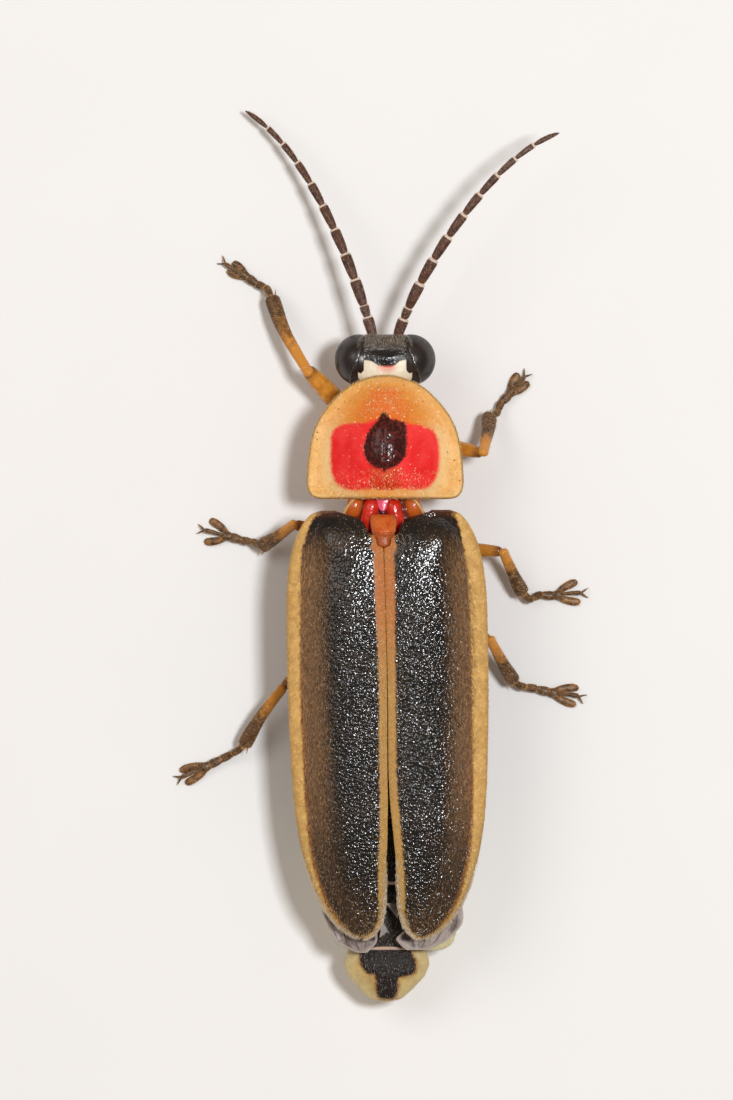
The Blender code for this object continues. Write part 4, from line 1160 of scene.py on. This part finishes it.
legs = {}
f = crowded(64, 0.6)
for leg, (thigh_half, shin_half, over_knee, browned, amber_end, splay, lobe_long) in LEGS.items():
    coxa, femur, tibia, tarsus = (f"leg_{leg}_{part}" for part in ("coxa", "femur", "tibia", "tarsus"))
    middle_of_body = np.array([0.0, Solid(coxa).points[:, 1].mean(), 0.9])
    hip = ordered(coxa, middle_of_body, (0.03, 0.3, 0.5, 0.7, 0.97))
    hip = bent(np.vstack([hip[0] + UP * HIP_ROOT, hip[1:]]), f)
    thigh = ordered(femur, hip[-1], (0.03, 0.3, 0.5, 0.7, 0.97))
    lower = ordered(tibia, thigh[-1], (0.03, 0.2, 0.4, 0.6, 0.8, 0.97))
    foot = ordered(tarsus, lower[-1], (0.02, 0.2, 0.4, 0.6, 0.8, 0.98))
    knee = thigh[-1] - unit(thigh[-1] - thigh[-2]) * 0.16
    thigh = bent(np.vstack([hip[-6], thigh[1:-1], knee]), f)
    lower = bent(np.vstack([knee + unit(knee - lower[1]) * over_knee + UP * 0.07, lower[1:]]), f)
    heights = (lower[-1][2] * 0.75, 0.19, 0.14, 0.10)
    foot[:, 2] = np.interp(np.linspace(0, 1, len(foot)), (0, 0.15, 0.5, 1), heights)
    foot = bent(np.vstack([lower[-3], foot]), f)
    sizes = HIP_HALF * curve(((0, 0.75), (0.5, 1.0), (1, 0.65)), f) * rounded_ends(f)
    limb_piece(f"leg_{leg}_hip", hip, sizes, sizes, amber, "cuticle_amber", coxa, 0 * f, 30)
    sizes = thigh_half * curve(((0, 0.55), (0.12, 0.72), (0.42, 1.0), (0.75, 0.88), (1, 0.62)), f)
    sizes *= rounded_ends(f, 0.05, 0.06)
    dark = np.maximum(eased(f, 0.74, 1.0) * 0.8, browned)
    legs[leg, "thigh"] = limb_piece(f"leg_{leg}_thigh", thigh, sizes, sizes * 0.86, amber, "cuticle_amber",
                                    femur, dark, 30)
    sizes = shin_half * curve(((0, 0.70), (0.10, 0.66), (0.5, 0.78), (0.9, 1.0), (1, 0.9)), f)
    sizes *= rounded_ends(f, 0.05, 0.05)
    shape = Shape().add(tube_grid(lower, sizes, sizes * 0.70, 30), far=1 - eased(f, 0.05, amber_end)[:, None])
    ahead = unit(lower[-1] - lower[-6])
    beside = np.cross(ahead, UP)
    g = np.linspace(0, 1, 14)
    for way in (-1, 1):
        run = g[:, None] * (ahead * 0.16 + beside * way * 0.05 - UP * 0.05)
        spur_size = np.interp(g, (0, 1), (0.022, 0.003))
        spur = lower[-4] + beside * way * shin_half * 0.55 + run
        shape.add(tube_grid(spur, spur_size, spur_size, 10), far=0.6)
    legs[leg, "shin"] = shape.piece(f"leg_{leg}_shin", shin, "cuticle_brown", tibia)
    shape = foot_shape(foot, f, splay, lobe_long)
    legs[leg, "foot"] = shape.piece(f"leg_{leg}_foot", shin, "cuticle_brown", tarsus)
print("legs:", len(LEGS))

# %% [markdown]
# ## Flying wings
#
# The hind wings are smoky membranes folded under the wing cases. Only their crumpled ends and a corner
# between the cases show. Cloth simulation could crumple a sheet, but the folds that show are few and
# known, so they are pressed into the grid as pleats, with thicker veins along some of them.

# %% Make the flying wings
def wing_finish():
    f = Finish("smoky_wing_membrane", 0.42, 0.4, (0.2, (1.0, 0.8, 0.7), 0.1))
    dots = f.step(f.cells(0.035), 0.26, 0.12)
    colour = f.layers(
        f.cloudy((0.20, 0.155, 0.135), (0.48, 0.405, 0.375), 0.30, 0.32, 0.68, 4.0, 0.6),
        ((0.06, 0.04, 0.035), dots * 0.6),
        ((0.055, 0.035, 0.028), f.step(f.mark("vein"), 0.4, 0.8) * 0.75),
        ((0.05, 0.033, 0.026), f.mark("shaded"), 0.2, 0.9),
        ((0.48, 0.40, 0.36), 1 - f.step(f.mark("rim"), 0.01, 0.05)))
    return f.done(colour, f.noise(0.06, 3.0, 0.6) + dots * 0.4, 0.012)


def folded_corner(a, b, c):
    """A thin corner of membrane with its tip at a."""
    f, g = np.meshgrid(np.linspace(0.02, 1, 14), np.linspace(0, 1, 14), indexing="ij")
    top = a + (b - a) * f[..., None] + (c - b) * (f * g)[..., None]
    top[..., 2] += 0.03 * np.sin(pi * g) * f
    return np.concatenate([top, top[:, ::-1] - [0, 0, 0.012]], 1)


WING_CORNERS = {
    "left": ((-0.06, 7.84, 1.92), (0.06, 7.60, 1.88), (0.12, 7.98, 1.84)),
    "right": ((-0.01, 7.25, 1.95), (-0.26, 7.24, 1.90), (-0.27, 7.58, 1.88)),
}
DRAWN_IN = {"left": 0.09, "right": 0.34}  # how far the end of a wing's inner edge is drawn in
PLEAT_START = {"left": 1.0, "right": 2.2}
CASE_EDGE = ((5.0, 1.9), (7.0, 1.55), (7.6, 1.15), (8.05, 0.45))  # place, and half width that the cases shade
membrane = wing_finish()
for side, sign in SIDES.items():
    grid = plate_grid("hindwing_" + side, 220, 96, (2.0, 2.0), mirrored=side == "right")
    rim = distance_to(outline(grid), grid)
    across = np.linspace(0, 1, grid.shape[1])[None]
    y = grid[..., 1]
    behind = eased(y, 6.6, 7.8)
    grid[..., 0] -= sign * DRAWN_IN[side] * eased(y, 7.75, 8.10) * (1 - across) ** 2
    if side == "right":
        grid[..., 0] -= 0.12 * hill(y - 7.72, 0.28) * across ** 2
        grid[..., 1] -= 0.06 * eased(y, 7.6, 8.1)
    pleats = np.sin(across * 34 + y * 1.1 + PLEAT_START[side])
    crumple = np.sin(across * 9 - y * 3.1 + sign) * np.sin(y * 4.3 + across * 5)
    grid[..., 2] += eased(rim, 0, 0.15) * (0.014 * pleats + behind * 0.035 * crumple) - 0.02 * behind
    vein = hill((across * 5.2 + 0.1 * np.sin(y * 2)) % 1 - 0.5, 0.08) * eased(rim, 0.02, 0.08)
    grid[..., 2] += 0.012 * vein
    shaded = 1 - eased(np.abs(grid[..., 0]) - curve(CASE_EDGE, y), -0.12, 0.22) * eased(y, 5.0, 7.0)
    shaded = np.where(y > 8.0, np.minimum(shaded, 1 - eased(y, 7.95, 8.15)), shaded)
    shape = thin_plate(grid, rim, 0.03, 0.03, 0.05, 3, rim=rim, vein=vein, shaded=shaded)
    shape.add(folded_corner(*np.array(WING_CORNERS[side])), rim=1.0)
    shape.piece("flying_wing_" + side, membrane, "wing_membrane", "hindwing_" + side)
print("flying wings are made")

# %% [markdown]
# ## Body
#
# Between the plates lies softer body: red and wet-looking in front of the wing cases, dark along the
# back, and cream under the tail, where the light comes from. Each solid is felt as rings and gets its
# swellings and colour borders as marks.

# %% Colours of the soft body
def flesh_finish():
    f = Finish("wet_red_flesh", 0.20, 0.4, (0.25, (1.0, 0.3, 0.2), 0.2))
    fine = f.noise(0.05, 3.0) - 0.5
    colour = f.layers(
        f.cloudy((0.46, 0.016, 0.006), (0.70, 0.030, 0.012), 0.12, 0.3, 0.7),
        ((0.52, 0.105, 0.014), f.mark("amber") + fine * 0.2, 0.3, 0.7),
        ((0.62, 0.33, 0.12), f.mark("frame"), 0.3, 0.7),
        ((0.88, 0.09, 0.17), f.mark("pink") + fine * 0.1, 0.4, 0.6),
        ((0.16, 0.03, 0.10), f.mark("tip") + fine * 0.2, 0.4, 0.7),
        ((0.16, 0.020, 0.008), f.mark("low") + fine * 0.3, 0.3, 0.8))
    return f.done(colour, f.noise(0.08, 2.0, 0.5), 0.010)


def lantern_finish():
    f = Finish("cream_lantern", 0.42, 0.35, (0.3, (1.0, 0.8, 0.45), 0.3))
    fine = f.noise(0.05, 3.0, 0.6) - 0.5
    grains = f.step(f.cells(0.06), 0.30, 0.10)
    back = f.mark("back") + fine * 0.12
    dark = f.cloudy((0.014, 0.009, 0.006), (0.060, 0.040, 0.028), 0.035, 0.50, 0.75, 3.0, 0.7)
    colour = f.layers(
        f.cloudy((0.66, 0.56, 0.27), (0.76, 0.70, 0.44), 0.14, 0.3, 0.7, 4.0, 0.6),
        ((0.82, 0.77, 0.55), grains * 0.4),
        ((0.36, 0.16, 0.045), back, -0.10, 0.0),
        (dark, back, -0.02, 0.05),
        ((0.84, 0.56, 0.42), f.mark("hem") + fine * 0.2, 0.4, 0.7))
    return f.done(colour, f.noise(0.03, 2.0, 0.6) + grains * 0.3 + f.noise(0.10, 2.0) * 0.5, 0.012)


def tail_finish():
    f = Finish("ochre_tail_plate", 0.40, 0.3, (0.25, (1.0, 0.7, 0.35), 0.25))
    fine, blotch = f.noise(0.045, 3.0, 0.65) - 0.5, f.noise(0.14, 3.0, 0.6) - 0.5
    bar = f.mark("bar") + fine * 0.09 + blotch * 0.05
    bar_mask = f.step(bar, -0.03, 0.02)
    colour = f.layers(
        f.cloudy((0.40, 0.265, 0.088), (0.60, 0.425, 0.16), 0.25, 0.3, 0.7),
        ((0.70, 0.60, 0.34), f.step(f.mark("rim"), 0.30, 0.02) * 0.5),
        ((0.27, 0.095, 0.022), bar + blotch * 0.1, -0.10, 0.02),
        (f.cloudy((0.010, 0.006, 0.004), (0.045, 0.028, 0.020), 0.03, 0.5, 0.75, 3.0, 0.7), bar_mask))
    return f.done(colour, f.noise(0.03, 2.0, 0.6) + f.noise(0.09, 2.0) * (0.5 + 1.5 * bar_mask), 0.016)


flesh, lantern, tail = flesh_finish(), lantern_finish(), tail_finish()


def upper(grid, low=0.0, high=0.2):
    """1 on the upper half of the rings and 0 on the lower one."""
    middle = (grid[..., 2].min(1) + grid[..., 2].max(1))[:, None] / 2
    return eased(grid[..., 2] - middle, low, high)


print("finishes of the soft body are made")

# %% Make the red flesh
FLESH_MIDDLE = 0.06  # the soft parts lie a little to the insect's left
# How far off the middle a swelling starts, its path, half width, half height, rounding and mark
SWELLINGS = (
    (0.0, ((0.15, -1.30, 2.18), (0.235, -1.00, 2.27), (0.29, -0.74, 2.25), (0.33, -0.45, 2.15)),
     0.165, 0.140, 0.35, {"amber": 0.0}),
    (-0.03, ((0.56, -1.28, 2.10), (0.61, -1.05, 2.20), (0.68, -0.78, 2.14)),
     0.165, 0.115, 0.35, {"amber": 1.0}),
    (-0.03, ((0.48, -1.30, 2.18), (0.66, -1.13, 2.27), (0.80, -0.93, 2.24), (0.86, -0.75, 2.10)),
     0.035, 0.05, 0.1, {"frame": 1.0}),
)
grid = tucked(body_grid("mesonotum", 90, 160, (1.0, 1.5)), 0.12)
grid[..., 2] -= 0.05
shape = Shape().add(grid, low=1.0)
f = crowded(44, 0.7)
for sign in SIDES.values():
    for off, path, wide, high, rounding, marks in SWELLINGS:
        path = [(FLESH_MIDDLE + off + sign * x, y, z) for x, y, z in path]
        size = rounded_ends(f, rounding, rounding)
        shape.add(tube_grid(bent(path, f), wide * size, high * size, 44), **marks)
wedge_path = [(FLESH_MIDDLE - 0.01, -1.32 + 0.46 * n / 4, 2.30 + 0.01 * n) for n in range(5)]
wedge = tube_grid(bent(wedge_path, f), 0.29 * (1.02 - f) * rounded_ends(f, 0.1, 0.02),
                  0.05 * (1.1 - 0.5 * f) * rounded_ends(f, 0.1, 0.05), 44)
shape.add(wedge, pink=1.0, tip=eased(f, 0.70, 0.95)[:, None])
shape.piece("red_flesh", flesh, "cuticle_red", "mesonotum")
print("red flesh:", len(shape.lofts), "swellings")

# %% Make the small shield between the wing cases
TONGUE_WIDER = ((-0.90, 1.05), (-0.48, 1.10), (-0.40, 1.35), (-0.28, 1.45), (-0.14, 1.9))  # place, factor
grid = body_grid("scutellum", 110, 120, (1.0, 1.5), 0.05)
y = grid[..., 1]
grid[..., 0] = FLESH_MIDDLE * 0.6 + grid[..., 0] * curve(TONGUE_WIDER, y)
small_shield = shell_finish("small_shield_amber", (0.47, 0.060, 0.007), (0.64, 0.15, 0.024),
                            (0.38, 0.085, 0.020), 0.85, 0.045, 0.014, 0.25)
grid[..., 2] -= 0.03 * hill(y + 0.45, 0.035) * upper(grid)
shape = Shape().add(grid, far=eased(y, -0.50, -0.42))
shape.piece("small_shield", small_shield, "cuticle_amber", "scutellum")
print("small shield is made")

# %% Make the chest
ARCH = ((-0.50, 0.0), (0.30, 0.45), (4.00, 0.49), (5.50, 0.45), (6.40, 0.34), (7.00, 0.20), (7.60, 0.08),
        (8.10, 0.0))  # place, and how much the back is raised there
ARCH_HALF, ARCH_TALL = 1.5, 0.55  # half the arch's width, and how far down the sides it reaches
CHEST_TUCK, CHEST_THINNER = 0.18, 0.05  # how far the hind chest goes on under the front one
BELLY_TUCK = 0.14  # and each plate of the belly under the one before it


def arched(grid):
    """A body piece whose back is raised to a soft arch, which fills the room under the wing cases."""
    middle = grid[..., 2].mean(1, keepdims=True)
    share = eased(grid[..., 2], middle, middle + ARCH_TALL)
    made = grid.copy()
    made[..., 2] += curve(ARCH, grid[..., 1]) * share * np.clip(1 - (grid[..., 0] / ARCH_HALF) ** 2, 0, 1)
    return made


chest = shell_finish("brown_red_chest", (0.20, 0.055, 0.02), (0.36, 0.12, 0.04), (0.07, 0.04, 0.025),
                     0.5, 0.035, 0.010)
for node, name in (("prothorax", "front_chest"), ("pterothorax", "hind_chest")):
    grid = body_grid(node, 120, 160, (1.5, 2.0))
    x, y = grid[..., 0], grid[..., 1]
    below = 1 - upper(grid)
    grid[..., 2] += below * 0.035 * hill(x, 0.05)
    for seam_place in np.linspace(y.min(), y.max(), 5)[1:-1]:
        grid[..., 2] += below * 0.03 * hill(y - seam_place - 0.12 * np.abs(x), 0.04)
    if node == "prothorax":
        Shape().add(grid, far=0.0).piece(name, amber, "cuticle_amber", node)
    else:
        grid = tucked(arched(grid), CHEST_TUCK, CHEST_THINNER)
        Shape().add(grid, far=below * 0.8).piece(name, chest, "cuticle_red", node)
print("chest is made")

# %% Make the belly, the lantern and the tail
TAIL_BAR = ((0.53, 8.43), (0.46, 8.62), (0.36, 8.72), (0.20, 8.74), (0.17, 8.85), (0.16, 9.18), (0.10, 9.25),
            (-0.04, 9.27), (-0.18, 9.25), (-0.24, 9.17), (-0.25, 8.88), (-0.29, 8.79), (-0.50, 8.77),
            (-0.63, 8.68), (-0.63, 8.47), (-0.53, 8.33), (-0.45, 8.0), (0.45, 8.0), (0.49, 8.33))
belly = {}
for node, name in (("abdomen_front", "belly_front"), ("abdomen_middle", "belly_middle"),
                   ("lantern_front", "lantern_front_plate"), ("lantern_rear", "lantern_rear_plate")):
    grid = body_grid(node, 110, 200, (1.0, 2.0))
    x, y = grid[..., 0], grid[..., 1]
    if node == "lantern_rear":
        x += -0.12 * eased(y, 6.9, 8.2) - 0.10 * eased(y, 7.4, 8.3) * eased(x, 0.2, 0.9)
        x -= 0.12 * eased(y, 7.6, 8.1) * eased(-x, 0.5, 1.0)
    above, hem = upper(grid, -0.05, 0.25), hill(y - y.max(), 0.10)
    half = (x.max(1) - x.min(1))[:, None] / 2
    grid[..., 2] -= 0.03 * hill(np.abs(x) - half * 0.80, 0.06) * above
    if node.startswith("abdomen"):
        marks, look = {"far": hem * 0.9}, (belly_dark, "cuticle_dark")
    else:
        back = np.where(above > 0.3, half * 0.83 - np.abs(x), -0.3 + 0.2 * above)
        marks, look = {"back": back, "hem": hem * above * hill(x, 0.55)}, (lantern, "lantern_cream")
    belly[node] = Shape().add(tucked(arched(grid), BELLY_TUCK), **marks).piece(name, *look, node)
grid = body_grid("pygidium", 130, 168, (1.0, 2.0), 0.09)
grid[..., 0] *= np.where(grid[..., 0] < 0, 1.11, 1.03)
above = upper(grid, 0.0, 0.12)
rows = grid[1:-1, :, :2]
edge = np.vstack([rows[:, 0], rows[::-1, rows.shape[1] // 2]])
rim, bar = distance_to(edge, grid), depth_in(swept(TAIL_BAR, 1), grid)
grid[..., 2] += above * 0.025 * eased(bar, -0.05, 0.06)
shape = Shape().add(tucked(grid, BELLY_TUCK), bar=np.where(above > 0.3, bar, -0.5), rim=rim)
tail_piece = shape.piece("tail_plate", tail, "lantern_cream", "pygidium")
print("body pieces are made")

# %% [markdown]
# ## Coat
#
# On the wing cases the hairs lie back towards the tail, brown and dense outside and sparse on the black
# middle, and a pale fringe stands round their ends. The shield has short golden hair, the limbs are
# furry, and the lobes of the feet are dense felt. Every part's hairs are one mesh.

# %% Grow the coat of the wing cases and the shield
for side, sign in SIDES.items():
    outer_edge, seam_edge = case_grids[side][::3, -1, :2], case_grids[side][::3, 0, :2]

    def from_edges(points):
        return np.minimum(distance_to(outer_edge, points), distance_to(seam_edge, points))

    def outside(points, normals):
        near, along = distance_to(outer_edge, points), points[:, 1]
        dense = eased(along, -0.7, 0.8) * (1 - 0.82 * eased(along, 3.8, 6.8))
        on_border = 1 - eased(near, 0.20, 0.42)
        return (normals[:, 2] > 0.0) * (0.02 + dense * hill(near - 0.50, 0.27)) * (1 - on_border)

    def near_rim(points, normals):
        near = from_edges(points)
        behind = 0.04 + eased(points[:, 1], -0.75, -0.2)
        return (hill(near, 0.10) + 0.6 * hill(near, 0.22)) * (normals[:, 2] > -0.3) * behind

    def fringe(points, normals):
        return hill(from_edges(points), 0.035) * eased(points[:, 1], 6.2, 7.4) * (normals[:, 2] > -0.6)

    lean, outward = BACK + np.array([0.25 * sign, 0, 0]), BACK + np.array([0.5 * sign, 0, -0.2])
    skin, slot = cases[side], "cuticle_black"
    hairs(f"wing_case_fur_{side}", skin, slot, brown_hair, 7000, 11, lean, 0.085, 0.0030, 15, 14, outside)
    hairs(f"wing_case_rim_fur_{side}", skin, slot, golden_hair, 3600, 12, lean, 0.070, 0.0028, 16, 18,
          near_rim)
    hairs(f"wing_case_fringe_{side}", skin, slot, cream_hair, 1700, 13, outward, 0.11, 0.0050, 30, 22, fringe)


def off_the_red(points, normals):
    """Where the shield has hair: along its rim, and a little on its orange middle, but none on the red."""
    x, y = points[:, 0], points[:, 1]
    middle = hill(x, 0.55) * (1 - eased(y, -3.0, -2.7)) + 0.4 * hill(x, 0.3) * (y > -1.75)
    bare = eased(depth_in(swept(RED_FIELD, 2), points), -0.15, -0.02) * (y < -1.75)
    near_rim = hill(distance_to(outline(shield_grid), points), 0.22)
    return (normals[:, 2] > 0.05) * (near_rim + 0.15 + 1.2 * middle) * (1 - bare)


hairs("shield_fur", shield, "cuticle_amber_clear", bright_hair, 3600, 14, FORWARD + UP * 0.1, 0.060, 0.0036,
      24, 25, off_the_red)
print("coat of the plates is made")

# %% Grow the coat of the head, the limbs and the tail
# Part of a leg, material slot, number of hairs and their length
LEG_COATS = (("thigh", "cuticle_amber", 200, 0.070), ("shin", "cuticle_brown", 380, 0.070),
             ("foot", "cuticle_brown", 800, 0.045))
BELLY_COATS = {True: ("cuticle_dark", brown_hair, 1500), False: ("lantern_cream", pale_hair, 2600)}


def on_black_of_head(points, normals):
    front = eased(-points[:, 1], 4.18, 4.60)
    return (depth_in(np.array(CREAM_FIELD), points) < 0) * (normals[:, 2] > -0.4) * (0.01 + front)


hairs("head_fur", head, "cuticle_pale", pale_hair, 1500, 21, FORWARD, 0.045, 0.0024, 35, 30, on_black_of_head)
for side in SIDES:
    for name, first, last in STRETCHES:
        hairs(f"antenna_{side}_{name}_fur", antennae[side, name], "cuticle_brown", pale_hair,
              110 * (last - first), 22 + first, FORWARD, 0.055, 0.0022, 30, 14)
for leg in LEGS:
    out = np.array([1.0 if "left" in leg else -1.0, 0.0, -0.2])
    for part, slot, count, length in LEG_COATS:
        hairs(f"leg_{leg}_{part}_fur", legs[leg, part], slot, golden_hair, count, 31, out, length, 0.0024,
              30, 22)
for node, skin in belly.items():
    coat = BELLY_COATS[node.startswith("abdomen")]
    hairs(node + "_fur", skin, *coat, 41, BACK, 0.08, 0.0028, 22, 20)
hairs("tail_fur", tail_piece, "lantern_cream", pale_hair, 650, 43, BACK, 0.07, 0.0026, 24, 22)
print("coat of the limbs and body is made")

# %% [markdown]
# ## Floor, light and camera
#
# The insect stands on a plain pale floor. The camera looks straight down from far off, as a long lens
# does, and the main light comes from high on one side, as in the photograph, with a weak one opposite.
# Large, soft lamps suit a glossy shell, because they leave long highlights with soft ends.

# %% Lay the floor
FLOOR_HALF = 0.5  # in metres


def floor_finish():
    f = Finish("pale_matt_floor", 0.85, 0.2)
    return f.done(f.mix((0.86, 0.845, 0.83), (0.88, 0.865, 0.85), f.noise(3.0, 2.0)))


mesh = bpy.data.meshes.new("floor")
corners = ((-1, -1), (1, -1), (1, 1), (-1, 1))
mesh.from_pydata([(x * FLOOR_HALF, y * FLOOR_HALF, 0.0) for x, y in corners], [], [(0, 1, 2, 3)])
mesh.materials.append(floor_finish())
floor = bpy.data.objects.new("floor", mesh)
bpy.context.scene.collection.objects.link(floor)
print("floor:", 2 * FLOOR_HALF, "m wide")

# %% Set the lights
SKY_COLOUR, SKY_STRENGTH = (1.0, 0.86, 0.73, 1.0), 0.295
LAMP_FAR = 0.15  # how far both lamps are from the insect, in metres
world = bpy.data.worlds.new("soft_studio")
bpy.context.scene.world = world
world.use_nodes = True
backdrop = world.node_tree.nodes["Background"]
backdrop.inputs["Color"].default_value = SKY_COLOUR
backdrop.inputs["Strength"].default_value = SKY_STRENGTH


def lamp(name, way, size, power, colour):
    """A square lamp that shines on the insect from a direction. Its size is in metres, its power in watts."""
    data = bpy.data.lights.new(name, "AREA")
    data.shape, data.size, data.energy, data.color = "SQUARE", size, power, colour
    thing = bpy.data.objects.new(name, data)
    way = Vector(way).normalized()
    thing.location = way * LAMP_FAR
    thing.rotation_mode = "QUATERNION"
    thing.rotation_quaternion = way.to_track_quat("Z", "Y")
    bpy.context.scene.collection.objects.link(thing)


KEY_HEIGHT, SECOND_HEIGHT = radians(76), radians(60)
lamp("key_light", (-cos(KEY_HEIGHT), -0.08, sin(KEY_HEIGHT)), 0.020, 0.147, (0.97, 1.0, 1.035))
lamp("second_light", (cos(SECOND_HEIGHT), -0.30, sin(SECOND_HEIGHT)), 0.08, 0.046, (1.0, 0.98, 0.96))
print("two lamps are set")

# %% Place the camera
VIEW_MIDDLE = (0.389, -0.116)  # the point under the middle of the photograph
VIEW_TALL = 23.16  # how much of the floor the photograph shows from top to bottom
CAMERA_HIGH, SENSOR = 200.0, 36.0
data = bpy.data.cameras.new("camera")
data.sensor_width = SENSOR
data.lens = SENSOR * CAMERA_HIGH / VIEW_TALL
data.clip_start, data.clip_end = 0.01, 10.0
camera = bpy.data.objects.new("camera", data)
camera.location = Vector((*VIEW_MIDDLE, CAMERA_HIGH)) * MM
camera.rotation_mode = "QUATERNION"
camera.rotation_quaternion = Matrix(((-1, 0, 0), (0, -1, 0), (0, 0, 1))).to_quaternion()
bpy.context.scene.collection.objects.link(camera)
bpy.context.scene.camera = camera
bpy.context.scene.view_settings.view_transform = "Standard"
print("camera lens:", round(data.lens), "mm")
